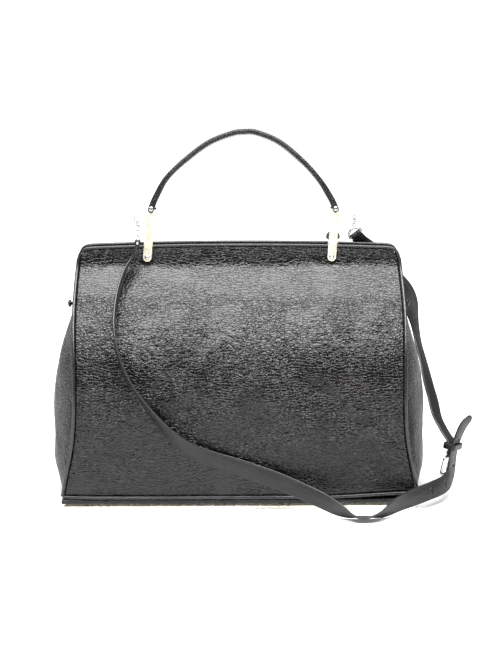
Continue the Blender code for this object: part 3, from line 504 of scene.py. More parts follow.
# ---- mesh helpers ---------------------------------------------------------------------
def from_bmesh(name, bm, sharp=40):
    mesh = bpy.data.meshes.new(name)
    bm.to_mesh(mesh)
    bm.free()
    mesh.shade_smooth()
    mesh.set_sharp_from_angle(angle=math.radians(sharp))
    obj = bpy.data.objects.new(name, mesh)
    bpy.context.scene.collection.objects.link(obj)
    return obj


def build(name, points, faces, uvs, sharp=40, outward=None):
    """A mesh from points and faces, with one UV pair for each face corner."""
    bm = bmesh.new()
    verts = [bm.verts.new(p) for p in points]
    layer = bm.loops.layers.uv.new("UVMap")
    spare = iter(uvs)
    for face in faces:
        made = bm.faces.new([verts[i] for i in face])
        for loop in made.loops:
            loop[layer].uv = next(spare)
    bmesh.ops.recalc_face_normals(bm, faces=bm.faces)
    bm.normal_update()
    if outward is not None and sum(f.normal.dot(Vector(outward)) for f in bm.faces) < 0:
        bmesh.ops.reverse_faces(bm, faces=bm.faces)
    return from_bmesh(name, bm, sharp)


def walk(points):
    """How far along a line each of its points is."""
    run = [0.0]
    for a, b in zip(points, points[1:]):
        run.append(run[-1] + (b - a).length)
    return run


def skin(name, rings, loop=False, sharp=40, caps=True):
    """A tube-like mesh through rings of points, closed on itself or capped."""
    count, around = len(rings), len(rings[0])
    centres = [sum(ring, Vector()) / around for ring in rings]
    along = walk(centres + centres[:1])
    girth = walk(rings[count // 2] + rings[count // 2][:1])
    faces, uvs = [], []
    for i in range(count if loop else count - 1):
        k = (i + 1) % count
        for j in range(around):
            m = (j + 1) % around
            faces.append((i * around + j, i * around + m, k * around + m, k * around + j))
            uvs += [(along[i], girth[j]), (along[i], girth[j + 1]), (along[i + 1], girth[j + 1]),
                    (along[i + 1], girth[j])]
    if caps and not loop:
        for ring in (0, count - 1):
            faces.append(tuple(range(ring * around, (ring + 1) * around)))
            uvs += [(along[ring] + 0.5 * girth[j], girth[j]) for j in range(around)]
    return build(name, [p for ring in rings for p in ring], faces, uvs, sharp)


def sheet(name, rows, thickness, outward, sharp=60):
    """An open surface through rows of points, which are its outer face, thickened inward."""
    count, across = len(rows), len(rows[0])
    u = walk(rows[count // 2])
    v = walk([row[across // 2] for row in rows])
    faces, uvs = [], []
    for i in range(count - 1):
        for j in range(across - 1):
            faces.append((i * across + j, i * across + j + 1, (i + 1) * across + j + 1, (i + 1) * across + j))
            uvs += [(u[j], v[i]), (u[j + 1], v[i]), (u[j + 1], v[i + 1]), (u[j], v[i + 1])]
    obj = build(name, [p for row in rows for p in row], faces, uvs, sharp, outward)
    thicken = obj.modifiers.new("thickness", "SOLIDIFY")
    thicken.thickness = thickness
    thicken.offset = -1.0
    return obj


def frames(line, plane=None, loop=False):
    """For each point of a line: (point, side, out), square to the line."""
    made, side = [], None
    for i, point in enumerate(line):
        before = line[i - 1] if (i or loop) else line[i]
        after = line[(i + 1) % len(line)] if (i < len(line) - 1 or loop) else line[i]
        ahead = (after - before).normalized()
        if plane is not None:
            side = ahead.cross(plane).normalized()
        elif side is None:
            side = ahead.orthogonal().normalized()
        else:
            side = (side - ahead * side.dot(ahead)).normalized()
        made.append((point, side, ahead.cross(side)))
    return made


def tube(name, line, radius, plane=None, loop=False, sides=14, swell=None):
    rings = []
    for i, (point, side, out) in enumerate(frames([Vector(p) for p in line], plane, loop)):
        r = radius * (swell(i / (len(line) - 1)) if swell else 1.0)
        turns = [math.tau * k / sides for k in range(sides)]
        rings.append([point + side * r * math.cos(t) + out * r * math.sin(t) for t in turns])
    return skin(name, rings, loop, sharp=50)


def squared(value, power):
    """A cosine or sine pushed outward, which turns a circle into a box with round corners."""
    return math.copysign(abs(value) ** power, value)


def box_ring(centre, across, up, powers, sides=16):
    """A ring with round corners. The lengths of across and up are its half sizes."""
    turns = [math.tau * k / sides for k in range(sides)]
    return [centre + across * squared(math.cos(t), powers[0]) + up * squared(math.sin(t), powers[1])
            for t in turns]


def smooth_line(points, steps):
    """A Catmull-Rom line through the points, with a number of steps in each span."""
    pts = [Vector(p) for p in points]
    ends = [2 * pts[0] - pts[1]] + pts + [2 * pts[-1] - pts[-2]]
    line = []
    for i in range(len(pts) - 1):
        a, b, c, d = ends[i:i + 4]
        for k in range(steps):
            t = k / steps
            line.append(0.5 * (2 * b + (c - a) * t + (2 * a - 5 * b + 4 * c - d) * t ** 2
                               + (3 * b - a - 3 * c + d) * t ** 3))
    return line + [pts[-1]]


def turned(name, profile, start, direction, steps=32):
    """A turned piece. The profile is (radius, distance along the axis), both ends on the axis."""
    turn = Vector(direction).to_track_quat("Z", "Y")
    rings = [[Vector(start) + turn @ Vector((max(r, 1e-5) * math.cos(math.tau * k / steps),
                                             max(r, 1e-5) * math.sin(math.tau * k / steps), along))
              for k in range(steps)] for r, along in profile]
    return skin(name, rings, sharp=50)


def slab(name, outline, half_thick, place, bevel, segments=3):
    """A flat plate with rounded rims: an outline in the XY plane of place."""
    bm = bmesh.new()
    face = bm.faces.new([bm.verts.new((x, y, -half_thick)) for x, y in outline])
    grown = bmesh.ops.extrude_face_region(bm, geom=[face])["geom"]
    far_side = [v for v in grown if isinstance(v, bmesh.types.BMVert)]
    bmesh.ops.translate(bm, vec=(0, 0, 2 * half_thick), verts=far_side)
    bmesh.ops.recalc_face_normals(bm, faces=bm.faces)
    rims = [e for e in bm.edges if abs(e.verts[0].co.z - e.verts[1].co.z) < 1e-7]
    bmesh.ops.bevel(bm, geom=rims, offset=bevel, segments=segments, profile=0.6, affect="EDGES")
    bmesh.ops.transform(bm, matrix=place, verts=bm.verts)
    return from_bmesh(name, bm, 30)


def merge(name, parts, sharp=45):
    """Several meshes made one piece, as separate closed shells."""
    bm = bmesh.new()
    for part in parts:
        bm.from_mesh(part.data)
        bpy.data.objects.remove(part)
    return from_bmesh(name, bm, sharp)


def finish(obj, mat, body, slot, *nodes):
    """Gives a piece its material, its body and slot, and the CAD nodes it stands for."""
    if mat:
        obj.data.materials.clear()
        obj.data.materials.append(mat)
    if body:
        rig.ride(obj, body)
    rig.slot(obj, slot)
    if nodes:
        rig.replaces(obj, *nodes)
    return obj


def keep_node(node, mat, slot, bevel=0.0002):
    """A CAD node that stays: its own shape with softened edges and a finished material."""
    obj = frame["nodes"][node]
    obj.data.materials.clear()
    obj.data.materials.append(mat)
    if bevel:
        weld = obj.modifiers.new("weld", "WELD")
        weld.merge_threshold = 0.00001
        soft = obj.modifiers.new("soft", "BEVEL")
        soft.width, soft.segments, soft.limit_method = bevel, 2, "ANGLE"
        soft.angle_limit = math.radians(32)
        soft.harden_normals = False
    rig.slot(obj, slot)


# ---- the bag's forms ------------------------------------------------------------------
def table(rows, value):
    """A smooth reading of a (height, size) table."""
    value = min(max(value, rows[0][0]), rows[-1][0])
    i = next(k for k in range(len(rows) - 1) if value <= rows[k + 1][0])
    slopes = [(b[1] - a[1]) / (b[0] - a[0]) for a, b in zip(rows, rows[1:])]
    tangents = [slopes[0]] + [(p + q) / 2 for p, q in zip(slopes, slopes[1:])] + [slopes[-1]]
    (low, first), (high, last) = rows[i], rows[i + 1]
    span = high - low
    t = (value - low) / span
    return ((2 * t ** 3 - 3 * t ** 2 + 1) * first + (t ** 3 - 2 * t ** 2 + t) * span * tangents[i]
            + (3 * t ** 2 - 2 * t ** 3) * last + (t ** 3 - t ** 2) * span * tangents[i + 1])


def depth(z):
    return table(DEPTH, z)


def half_length(z):
    size = table(HALF_LENGTH, z)
    above = z - (PANEL_TOP - TOP_DROP - CORNER)
    if above > 0:
        size -= CORNER - math.sqrt(max(CORNER ** 2 - min(above, CORNER) ** 2, 0.0))
    return size


def edge_roll(z):
    return EDGE_ROLL * min(max((depth(z) - 0.010) / 0.030, 0.0), 1.0)


def panel_point(across, z, inset=0.0):
    roll = edge_roll(z) * abs(across) ** 8
    return Vector((across * (half_length(z) - inset), -(depth(z) - roll), z))


def step(low, high, value):
    t = min(max((value - low) / (high - low), 0.0), 1.0)
    return t * t * (3 - 2 * t)


# soft folds in the front panel: (x, z) of both ends, half width, height (a furrow's is negative)
FOLDS = [
    (-0.036, 0.163, -0.078, 0.120, 0.0085, -0.0013), (-0.024, 0.160, -0.058, 0.112, 0.0080, 0.0008),
    (-0.012, 0.150, -0.046, 0.098, 0.0120, -0.0009), (0.106, 0.168, 0.109, 0.128, 0.0080, -0.0015),
    (0.120, 0.172, 0.125, 0.120, 0.0110, 0.0008), (0.045, 0.150, 0.100, 0.088, 0.0095, -0.0009),
    (0.062, 0.152, 0.116, 0.098, 0.0075, 0.0006), (0.020, 0.130, 0.072, 0.080, 0.0130, 0.0008),
    (0.090, 0.112, 0.104, 0.088, 0.0070, -0.0012), (0.134, 0.075, 0.152, 0.040, 0.0090, 0.0015),
    (0.118, 0.060, 0.142, 0.024, 0.0085, -0.0012), (0.100, 0.185, 0.104, 0.172, 0.0080, 0.0010),
    (-0.140, 0.080, -0.128, 0.050, 0.0070, 0.0008), (-0.150, 0.060, -0.130, 0.034, 0.0060, -0.0006),
    (-0.150, 0.205, -0.100, 0.198, 0.0060, -0.0005), (-0.085, 0.196, -0.050, 0.204, 0.0070, 0.0005),
    (0.128, 0.182, 0.154, 0.196, 0.0070, 0.0007), (-0.060, 0.080, 0.010, 0.070, 0.0150, -0.0008),
]


def fold_height(x, z):
    total = 0.0
    for ax, az, bx, bz, width, height in FOLDS:
        dx, dz = bx - ax, bz - az
        size = math.hypot(dx, dz)
        along = ((x - ax) * dx + (z - az) * dz) / size
        off = ((x - ax) * dz - (z - az) * dx) / size
        past = max(-along, along - size, 0.0)
        if abs(off) < 3 * width and past < 3 * width:
            total += height * math.exp(-(off / width) ** 2 - (past / width) ** 2)
    return total


def panel_relief(x, z, seed):
    """How far the leather stands off its plain form."""
    wide = noise.fractal(Vector((x * 16, z * 20, seed)), 1.0, 2.0, 3) * 0.0011
    band = step(0.150, 0.168, z) * (1 - step(0.192, 0.206, z))
    drift = 0.5 * noise.noise(Vector((x * 14, z * 8, seed + 3)))
    creases = noise.fractal(Vector((x * 105, (z + 0.02 * drift) * 330, seed + 5)), 0.8, 2.1, 3)
    lines = noise.fractal(Vector((x * 55, (z + 0.03 * drift) * 210, seed + 9)), 0.9, 2.0, 2)
    lower = 1 - step(0.140, 0.160, z)
    return wide + band * (creases * 0.00035 + lines * 0.00032) + lower * lines * 0.00013


def panel_rows(low, high, side, seed, folds, pitch=0.0015, lift=None):
    """Rows of points of the outer face of the front (side 1) or back (side -1) panel, and their polish."""
    rows, polish = [], []
    count = int((high - low) * 1.28 / pitch)
    across_count = int(2 * HALF_LENGTH[0][1] / pitch)
    for i in range(count + 1):
        up = i / count
        row = []
        base = low + (high - low) * (1 - (1 - up) ** 1.2)
        for j in range(across_count + 1):
            across = -1 + 2 * j / across_count
            z = base - TOP_DROP * across ** 2 * step(0.6, 1.0, up)
            if lift:
                z += lift(across) * (1 - step(low, low + 0.045, base))
            point = panel_point(across, z, BEAD + GAP)
            edge = (1 - step(0.93, 1.0, abs(across))) * step(0.0, 0.05, up) * (1 - step(0.90, 0.98, up))
            out = panel_relief(point.x, z, seed) * edge
            if folds:
                out += fold_height(point.x, z) * edge
            slope = (depth(z + 0.002) - depth(z - 0.002)) / 0.004
            normal = Vector((0, -1, -slope)).normalized()
            normal.z = -normal.z if slope > 0 else abs(normal.z)
            point = point + normal * out
            row.append(Vector((point.x, side * point.y, point.z)))
            plain = step(0.197, 0.206, z) * (1 - step(0.236, 0.244, z)) * 0.40
            patch = 0.5 * step(0.02, 0.35, noise.noise(Vector((point.x * 30, z * 34, seed + 20))))
            polish.append(min(plain + patch * (0.35 if plain else 0.7), 0.85))
        rows.append(row)
    return rows, polish


def set_polish(obj, values):
    obj.data.attributes.new("polish", "FLOAT", "POINT").data.foreach_set("value", values)


def corner_lift(across):
    """The front panel's bottom edge lifts at the right-hand corner."""
    return 0.0040 * step(0.45, 0.95, across)


def gusset_point(sign, s, z):
    start = half_length(z) - SEAM
    bulge = table(GUSSET_OUT, z) - start
    half = depth(z) - edge_roll(z) - LEATHER - SEAM
    x = start + bulge * math.sin(math.pi * min(max(s, 0.0), 1.0)) ** 0.8
    return Vector((sign * x, -half + 2 * half * s, z))


def gusset_relief(sign, y, z):
    soft = noise.fractal(Vector((y * 24, z * 16, sign * 7.0)), 1.0, 2.0, 3) * 0.0013
    fine = noise.fractal(Vector((y * 90, z * 170, sign * 3.0)), 0.8, 2.0, 2) * 0.00018
    return soft + fine


def gusset_rows(sign, z_low, z_high, y_from, y_to, count, columns, push=0.0):
    """Rows of a gusset between two heights, kept between two depths where they are given."""
    rows = []
    for i in range(count + 1):
        z = z_low + (z_high - z_low) * i / count
        half = depth(z) - edge_roll(z) - LEATHER - SEAM
        low, high = max(-half, y_from(z)), min(half, y_to(z))
        row = []
        for j in range(columns + 1):
            y = low + (high - low) * j / columns
            s = (y + half) / (2 * half)
            point = gusset_point(sign, s, z)
            calm = step(0.0, 0.12, s) * (1 - step(0.88, 1.0, s)) * (1 - step(0.172, 0.186, z) * 0.8)
            point.x += sign * (gusset_relief(sign, y, z) * calm + push)
            row.append(point)
        rows.append(row)
    return rows


def body(leather, side_leather):
    rows, polish = panel_rows(PANEL_LOW, PANEL_TOP, 1, 1.0, True, lift=corner_lift)
    front = sheet("front_panel_look", rows, LEATHER, (0, -1, 0.3))
    set_polish(front, polish)
    finish(front, leather, "root", "black_leather", "front_panel")
    rows, polish = panel_rows(PANEL_LOW, PANEL_TOP, -1, 31.0, False, pitch=0.002)
    back = sheet("back_panel_look", rows, LEATHER, (0, 1, 0.3))
    set_polish(back, polish)
    finish(back, leather, None, "black_leather", "back_panel_lower", "back_panel_fold", "back_panel_upper")
    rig.blend(back, "root", "back_half", *BEND)
    for sign, which in ((-1, "left"), (1, "right")):
        gussets(sign, which, side_leather)


def gussets(sign, which, mat):
    """A gusset: the side below the hinge with its front flap, the back flap that moves with the back
    half of the frame, and a thin web that fans out between them above the hinge."""
    split_low, split_high, full_depth = 0.160, 0.186, 0.09

    def back_limit(z):
        """The whole side low down, and only what is in front of the hinge higher up."""
        return full_depth - (full_depth - SPLIT_Y) * step(split_low, split_high, z)

    def flap_limit(z):
        return -SPLIT_Y + max(split_high - z, 0.0) * 0.9

    rows = gusset_rows(sign, PANEL_LOW - 0.001, GUSSET_TOP, lambda z: -1.0, back_limit, 110, 62)
    main = sheet(f"gusset_{which}_look", rows, GUSSET_LEATHER, (sign, 0, 0))
    finish(main, mat, "root", "black_leather", f"gusset_{which}")
    rows = gusset_rows(sign, FLAP_LOW, GUSSET_TOP, flap_limit, lambda z: 1.0, 52, 40, push=-0.0024)
    flap = sheet(f"gusset_flap_{which}_look", rows, 0.0012, (sign, 0, 0))
    finish(flap, mat, None, "black_leather", f"gusset_pleat_{which}")
    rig.blend(flap, "root", "back_half", *BEND)
    rows = []
    half = 0.0075
    for i in range(25):
        z = HINGE_Z + 0.006 + 0.034 * i / 24
        row = []
        for j in range(19):
            x = table(GUSSET_OUT, z) - 0.0052 + 0.0006 * math.cos(math.tau * j / 6)
            row.append(Vector((sign * x, half * (j / 9 - 1), z - 0.004 * math.sin(math.pi * j / 18))))
        rows.append(row)
    web = sheet(f"gusset_web_{which}_look", rows, 0.0007, (sign, 0, 0))
    finish(web, mat, None, "black_leather")
    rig.blend(web, "root", "back_half", (0, -0.005, HINGE_Z), (0, 0.005, HINGE_Z))


# ---- piping ---------------------------------------------------------------------------
def bead_line(side, lift=None):
    """The line of the piping round a panel, closed."""
    low = PANEL_LOW - 0.0004

    def edge(sign, z):
        point = panel_point(1.0, z)
        return Vector((sign * (point.x + 0.0001), side * point.y, z))

    rise = PANEL_TOP - CORNER - TOP_DROP - low
    left = [edge(-1, low + rise * i / 60) for i in range(61)]
    reach = table(HALF_LENGTH, PANEL_TOP)
    tuck = 0.0011
    top = []
    for i in range(1, 9):
        turn = math.radians(90 * i / 8)
        z = PANEL_TOP - TOP_DROP - CORNER + (CORNER + BEAD + 2 * GAP) * math.sin(turn)
        x = reach - CORNER + (CORNER + 2 * GAP) * math.cos(turn)
        top.append(Vector((-x, -side * (depth(z) - tuck), z)))
    run = reach - CORNER
    middle = []
    for i in range(1, 80):
        x = -run + 2 * run * i / 80
        z = PANEL_TOP - TOP_DROP + BEAD + 2 * GAP + TOP_DROP * (1 - (x / reach) ** 2)
        middle.append(Vector((x, -side * (depth(z) - tuck), z)))
    mirrored = [Vector((-p.x, p.y, p.z)) for p in reversed(top)]
    right = [edge(1, low + rise * i / 60) for i in range(60, -1, -1)]
    reach = edge(1, low).x - BEAD
    bottom = []
    for i in range(81):
        share = 1 - i / 40
        z = BEAD_LOW + (lift(share) * 0.8 if lift else 0.0)
        bottom.append(Vector((reach * share, -side * (depth(low) - edge_roll(low) * abs(share) ** 8), z)))
    if lift:
        for point in right[-14:]:
            point.z += 0.8 * lift(1.0) * (1 - step(low, low + 0.045, point.z))
    return left + top + middle + mirrored + right + bottom


def piping(mat):
    def lumpy(seed):
        return lambda t: 1.0 + 0.10 * noise.noise(Vector((t * 160, seed, 0)))
    front = tube("front_piping_look", bead_line(1, corner_lift), BEAD, loop=True, sides=12, swell=lumpy(1))
    finish(front, mat, "root", "edge_leather", "front_piping")
    back = tube("back_piping_look", bead_line(-1), BEAD, loop=True, sides=10, swell=lumpy(2))
    finish(back, mat, None, "edge_leather", "back_piping_lower", "back_piping_upper")
    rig.blend(back, "root", "back_half", *BEND)


# ---- base, lining, frame --------------------------------------------------------------
def base(mats):
    keep_node("base_plate", mats["polished"], "silver_metal", 0.0004)
    low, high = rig.box("base_panel")
    outline = [(low.x, low.y), (high.x, low.y), (high.x, high.y), (low.x, high.y)]
    middle = (low.z + high.z) / 2
    strip = slab("base_panel_look", outline, (high.z - low.z) / 2, Matrix.Translation((0, 0, middle)), 0.0014)
    finish(strip, mats["small_leather"], "root", "black_leather", "base_panel")
    keep_node("base_board", mats["board"], "fibre_board", 0.0003)
    for i in range(1, 5):
        keep_node(f"base_screw_{i}", mats["silver"], "silver_metal", 0.0001)


def lining(mats):
    """The lining: a soft shell below, with skirts that run up to both frame halves."""
    around, levels = 120, 44
    rings = []
    for level in range(levels):
        z = LINING_LOW + (LINING_TOP - LINING_LOW) * level / (levels - 1)
        half = (0.1505, depth(z) - 0.0085)
        ring = []
        for i in range(around):
            turn = math.tau * (i + 0.5) / around
            c, s = math.cos(turn), math.sin(turn)
            slack = 0.0012 * noise.fractal(Vector((c * 3, s * 3, z * 30)), 1.0, 2.0, 3) - 0.0008
            x, y = (half[0] + slack) * squared(c, 0.35), (half[1] + slack) * squared(s, 0.35)
            ring.append(Vector((x, y, z)))
        rings.append(ring)
    shell = skin("lining_look", rings, caps=False, sharp=70)
    bm = bmesh.new()
    bm.from_mesh(shell.data)
    bm.verts.ensure_lookup_table()
    bm.faces.new([bm.verts[i] for i in range(around)])
    bmesh.ops.recalc_face_normals(bm, faces=bm.faces)
    bm.to_mesh(shell.data)
    bm.free()
    thin = shell.modifiers.new("thickness", "SOLIDIFY")
    thin.thickness, thin.offset = 0.0010, -1.0
    finish(shell, mats["lining"], "root", "lining_fabric", "lining")
    for side, which in ((-1, "front"), (1, "back")):
        rows = []
        for i in range(30):
            z = SKIRT_LOW + (SKIRT_TOP - SKIRT_LOW) * i / 29
            row = []
            for j in range(-59, 60):
                slack = 0.0006 * noise.noise(Vector((j * 0.2, z * 60, side)))
                row.append(Vector((j * 0.0025, side * max(depth(z) - 0.0062 + slack, 0.0100), z)))
            rows.append(row)
        skirt = sheet(f"lining_skirt_{which}", rows, 0.0006, (0, side, 0))
        finish(skirt, mats["lining"], "root" if side < 0 else None, "lining_fabric")
        if side > 0:
            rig.blend(skirt, "root", "back_half", *BEND)
    pocket(mats)


def pocket(mats):
    """A patch pocket on the lining's back wall, with a turned-over rim and its stitches."""
    low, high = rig.box("inner_pocket")
    rows = []
    for i in range(30):
        z = low.z + (high.z - low.z) * i / 29
        rim = 0.0005 if i > 26 else 0.0
        row = []
        for j in range(61):
            slack = 0.0008 * math.sin(math.pi * j / 60) * noise.noise(Vector((j * 0.2, i * 0.15, 4)))
            row.append(Vector((low.x + (high.x - low.x) * j / 60, low.y + slack - rim, z)))
        rows.append(row)
    patch = sheet("inner_pocket_look", rows, 0.0010, (0, -1, 0))
    finish(patch, mats["lining"], "root", "lining_fabric", "inner_pocket")
    left, right, face = low.x + 0.003, high.x - 0.003, low.y - 0.0003
    rim, foot = high.z - 0.006, low.z + 0.003
    line = [Vector((x, face, z)) for x, z in ((left, rim), (left, foot), (right, foot), (right, rim))]
    track = [(p, Vector((0, -1, 0))) for p in resample(line, 0.0008)]
    thread = stitches("pocket_stitches", track, 0.0032, 0.0022)
    finish(thread, mats["thread"], "root", "black_leather")


def frame_parts(mats):
    for name in ("front_frame", "back_frame"):
        keep_node(name, mats["steel"], "frame_steel", 0.0003)
    for sign, which in ((-1, "left"), (1, "right")):
        profile = [(0, 0), (0.0030, 0), (0.0030, 0.0010), (0.0016, 0.0011), (0.0016, 0.0171),
                   (0.0032, 0.0172), (0.0036, 0.0178), (0.0037, 0.0185), (0.0034, 0.0194),
                   (0.0026, 0.0202), (0.0012, 0.0206), (0, 0.0207)]
        knob = turned(f"hinge_pin_{which}_look", profile, (sign * 0.1498, 0, HINGE_Z), (sign, 0, 0))
        finish(knob, mats["small_leather"], "root", "black_leather", f"hinge_pin_{which}")


# ---- zip ------------------------------------------------------------------------------
def zip_fastener(mats):
    pitch, reach = 0.0026, 0.00035
    for side, which, bodyname in ((-1, "front", "root"), (1, "back", "back_half")):
        rows = [[Vector((x, side * (0.0022 + 0.0076 * k / 6), ZIP_Z + 0.0004)) for k in range(7)]
                for x in [-ZIP_HALF + 2 * ZIP_HALF * i / 140 for i in range(141)]]
        tape = sheet(f"zip_tape_{which}_look", rows, 0.0008, (0, 0, 1))
        finish(tape, mats["tape"], bodyname, "zip_tape", f"zip_tape_{which}")
        teeth = []
        count = int(2 * ZIP_HALF / pitch)
        for i in range(count):
            x = -ZIP_HALF + pitch * (i + (0.25 if side < 0 else 0.75))
            if x > ZIP_HALF - 0.001:
                continue
            root_y, tip_y = side * 0.0026, -side * reach
            outline = [(x - 0.0007, root_y), (x + 0.0007, root_y), (x + 0.0006, side * 0.0009),
                       (x + 0.0009, side * 0.0002), (x + 0.0006, tip_y), (x - 0.0006, tip_y),
                       (x - 0.0009, side * 0.0002), (x - 0.0006, side * 0.0009)]
            place = Matrix.Translation((0, 0, ZIP_Z))
            teeth.append(slab(f"tooth_{which}_{i}", outline, 0.0011, place, 0.0002, 1))
        row = merge(f"zip_teeth_{which}_look", teeth)
        finish(row, mats["silver"], bodyname, "silver_metal", f"zip_teeth_{which}")
    keep_node("zip_slider", mats["silver"], "silver_metal", 0.0003)
    lean = Matrix.Translation((SLIDER_X, 0, ZIP_Z + 0.0046)) @ Matrix.Rotation(math.radians(-20), 4, "X")
    link = rounded_loop(0.0050, 0.0027, 0.0016)
    line = [lean @ Vector((x, 0, 0.0027 + y)) for x, y in link]
    ring = tube("zip_pull_link_look", line, 0.0006, plane=lean.to_3x3() @ Vector((0, 1, 0)), loop=True)
    finish(ring, mats["silver"], "pull", "silver_metal", "zip_pull_link")
    keep_node("zip_pull_tab", mats["small_leather"], "black_leather", 0.0007)


def rounded_loop(half_x, half_y, radius, per_corner=6):
    """A rectangle with round corners, as (x, y) points."""
    points = []
    for cx, cy, start in ((1, 1, 0), (-1, 1, 90), (-1, -1, 180), (1, -1, 270)):
        for k in range(per_corner + 1):
            turn = math.radians(start + 90 * k / per_corner)
            points.append((cx * (half_x - radius) + radius * math.cos(turn),
                           cy * (half_y - radius) + radius * math.sin(turn)))
    return points


# ---- stitches -------------------------------------------------------------------------
def resample(points, pitch):
    """Points an even distance apart along a line."""
    run = walk(points)
    made, i = [], 0
    for k in range(int(run[-1] / pitch) + 1):
        want = k * pitch
        while i < len(points) - 2 and run[i + 1] < want:
            i += 1
        span = max(run[i + 1] - run[i], 1e-9)
        made.append(points[i].lerp(points[i + 1], (want - run[i]) / span))
    return made


def stitches(name, track, pitch, length, radius=0.00032):
    """Separate stitches along a track of (point, surface normal), each a short rounded bar."""
    points = [p for p, _ in track]
    run = walk(points)
    verts, faces, uvs = [], [], []
    i = 0
    for k in range(int((run[-1] - length) / pitch)):
        ends = []
        for want in (k * pitch, k * pitch + length):
            while i < len(points) - 2 and run[i + 1] < want:
                i += 1
            share = (want - run[i]) / max(run[i + 1] - run[i], 1e-9)
            ends.append((points[i].lerp(points[i + 1], share), track[i][1]))
        (a, normal), (b, _) = ends
        ahead = (b - a).normalized()
        side = ahead.cross(normal).normalized()
        up = side.cross(ahead)
        base = len(verts)
        for share, size in ((0.0, 0.35), (0.15, 0.85), (0.5, 1.0), (0.85, 0.85), (1.0, 0.35)):
            centre = a.lerp(b, share) + up * radius * (0.9 * size - 0.75)
            for m in range(6):
                turn = math.tau * m / 6
                verts.append(centre + radius * size * (side * math.cos(turn) + up * math.sin(turn)))
        for r in range(4):
            for m in range(6):
                n = (m + 1) % 6
                near, far = base + r * 6, base + r * 6 + 6
                faces.append((near + m, near + n, far + n, far + m))
        faces += [tuple(base + m for m in range(6)), tuple(base + 24 + m for m in range(6))]
        uvs += [(0.0, 0.0)] * (4 * 24 + 12)
    return build(name, verts, faces, uvs, 70)


# ---- handle and arms ------------------------------------------------------------------
def arm_axes():
    up = Vector((0, math.sin(HANDLE_LEAN), math.cos(HANDLE_LEAN)))
    out = Vector((0, -math.cos(HANDLE_LEAN), math.sin(HANDLE_LEAN)))
    return Vector((1, 0, 0)), up, out


def arm_place(which):
    """Columns across, up and outward, with the origin at the arm's pivot."""
    across, up, out = arm_axes()
    along = (up * math.cos(ARM_TILT) + across * math.sin(ARM_TILT)).normalized()
    place = Matrix((along.cross(out), along, out)).transposed().to_4x4()
    return Matrix.Translation(ARM_PIVOT[which]) @ place


def arc(radius, start, end, pitch, height=0.0):
    """Points on an arc, with its angles in degrees."""
    turns = [math.radians(a) for a in range(start, end + 1, pitch)]
    return [(radius * math.cos(t), height + radius * math.sin(t)) for t in turns]


def flat_ring(name, place, radius, wire):
    """A round wire ring in the XY plane of place."""
    turns = [math.tau * k / 28 for k in range(28)]
    line = [place @ Vector((radius * math.cos(t), radius * math.sin(t), 0)) for t in turns]
    return tube(name, line, wire, plane=place.to_3x3() @ Vector((0, 0, 1)), loop=True)


def arm(which, sign, mats):
    place = arm_place(which)
    body_name = f"{which}_arm"
    half, thick = ARM_WIDE / 2, ARM_THICK / 2
    foot = arc(half, 180, 360, 9)
    bar = slab(f"bar_{which}", foot + [(half, ARM_CAP), (-half, ARM_CAP)], thick, place, 0.0007, 4)
    tip = arc(TANG_HALF, 0, 180, 12, EYE_AT)
    tang = slab(f"tang_{which}", [(-TANG_HALF, 0.040), (TANG_HALF, 0.040)] + tip, 0.0006, place, 0.0002, 2)
    ear_place = place @ Matrix.Translation((sign * (half + EAR_OUT), EAR_AT, 0))
    ear = flat_ring(f"ear_{which}", ear_place, 0.0022, 0.0007)
    whole = merge(f"arm_{which}_look", [bar, tang, ear], 30)
    finish(whole, mats["gold"], body_name, "pale_gold", f"arm_{which}")
    out = arm_axes()[2]
    rivet = turned(f"arm_rivet_{which}_look",
                   [(0, 0), (0.0024, 0), (0.0024, 0.0006), (0.0013, 0.0007), (0.0013, 0.0077),
                    (0.0023, 0.0078), (0.0024, 0.0081), (0.0022, 0.0085), (0.0018, 0.0087),
                    (0.0016, 0.0086), (0.0014, 0.0088), (0.0009, 0.0091), (0, 0.0092)],
                   ARM_PIVOT[which] - 0.0063 * out, out)
    finish(rivet, mats["silver"], "root", "silver_metal", f"arm_rivet_{which}")
    pin = turned(f"eye_pin_{which}_look",
                 [(0, 0), (0.0018, 0.0001), (0.0022, 0.0005), (0.0023, 0.0008), (0.0011, 0.0009),
                  (0.0011, 0.0085), (0.0023, 0.0086), (0.0022, 0.0090), (0.0017, 0.0093), (0, 0.0095)],
                 place @ Vector((0, EYE_AT, -0.0047)), out)
    finish(pin, mats["silver"], body_name, "silver_metal", f"eye_pin_{which}")
    clasp(which, sign, mats)


def clasp(which, sign, mats):
    """A small gold hook through the arm's ear: a bent ring, a swivel collar and an eye."""
    place = arm_place(which) @ Matrix.Translation((sign * (ARM_WIDE / 2 + EAR_OUT), EAR_AT, 0))
    stand = place @ Matrix.Translation((sign * 0.0026, 0, 0)) @ Matrix.Rotation(math.radians(90), 4, "X")
    ring = flat_ring(f"hook_{which}", stand, 0.0026, 0.0006)
    start = place @ Vector((sign * 0.0052, 0.0003, 0))
    end = place @ Vector((sign * 0.0060, 0.0090, 0))
    along = (end - start).length
    profile = [(0, 0), (0.0013, 0.0001), (0.0014, 0.0012), (0.0009, 0.0018), (0.0009, 0.0028),
               (0.0013, 0.0034), (0.0013, along - 0.0016), (0.0009, along - 0.0003), (0, along)]
    stub = turned(f"stub_{which}", profile, start, end - start, 20)
    whole = merge(f"clasp_{which}_look", [ring, stub])
    finish(whole, mats["gold"], f"{which}_arm", "pale_gold", f"clasp_{which}")


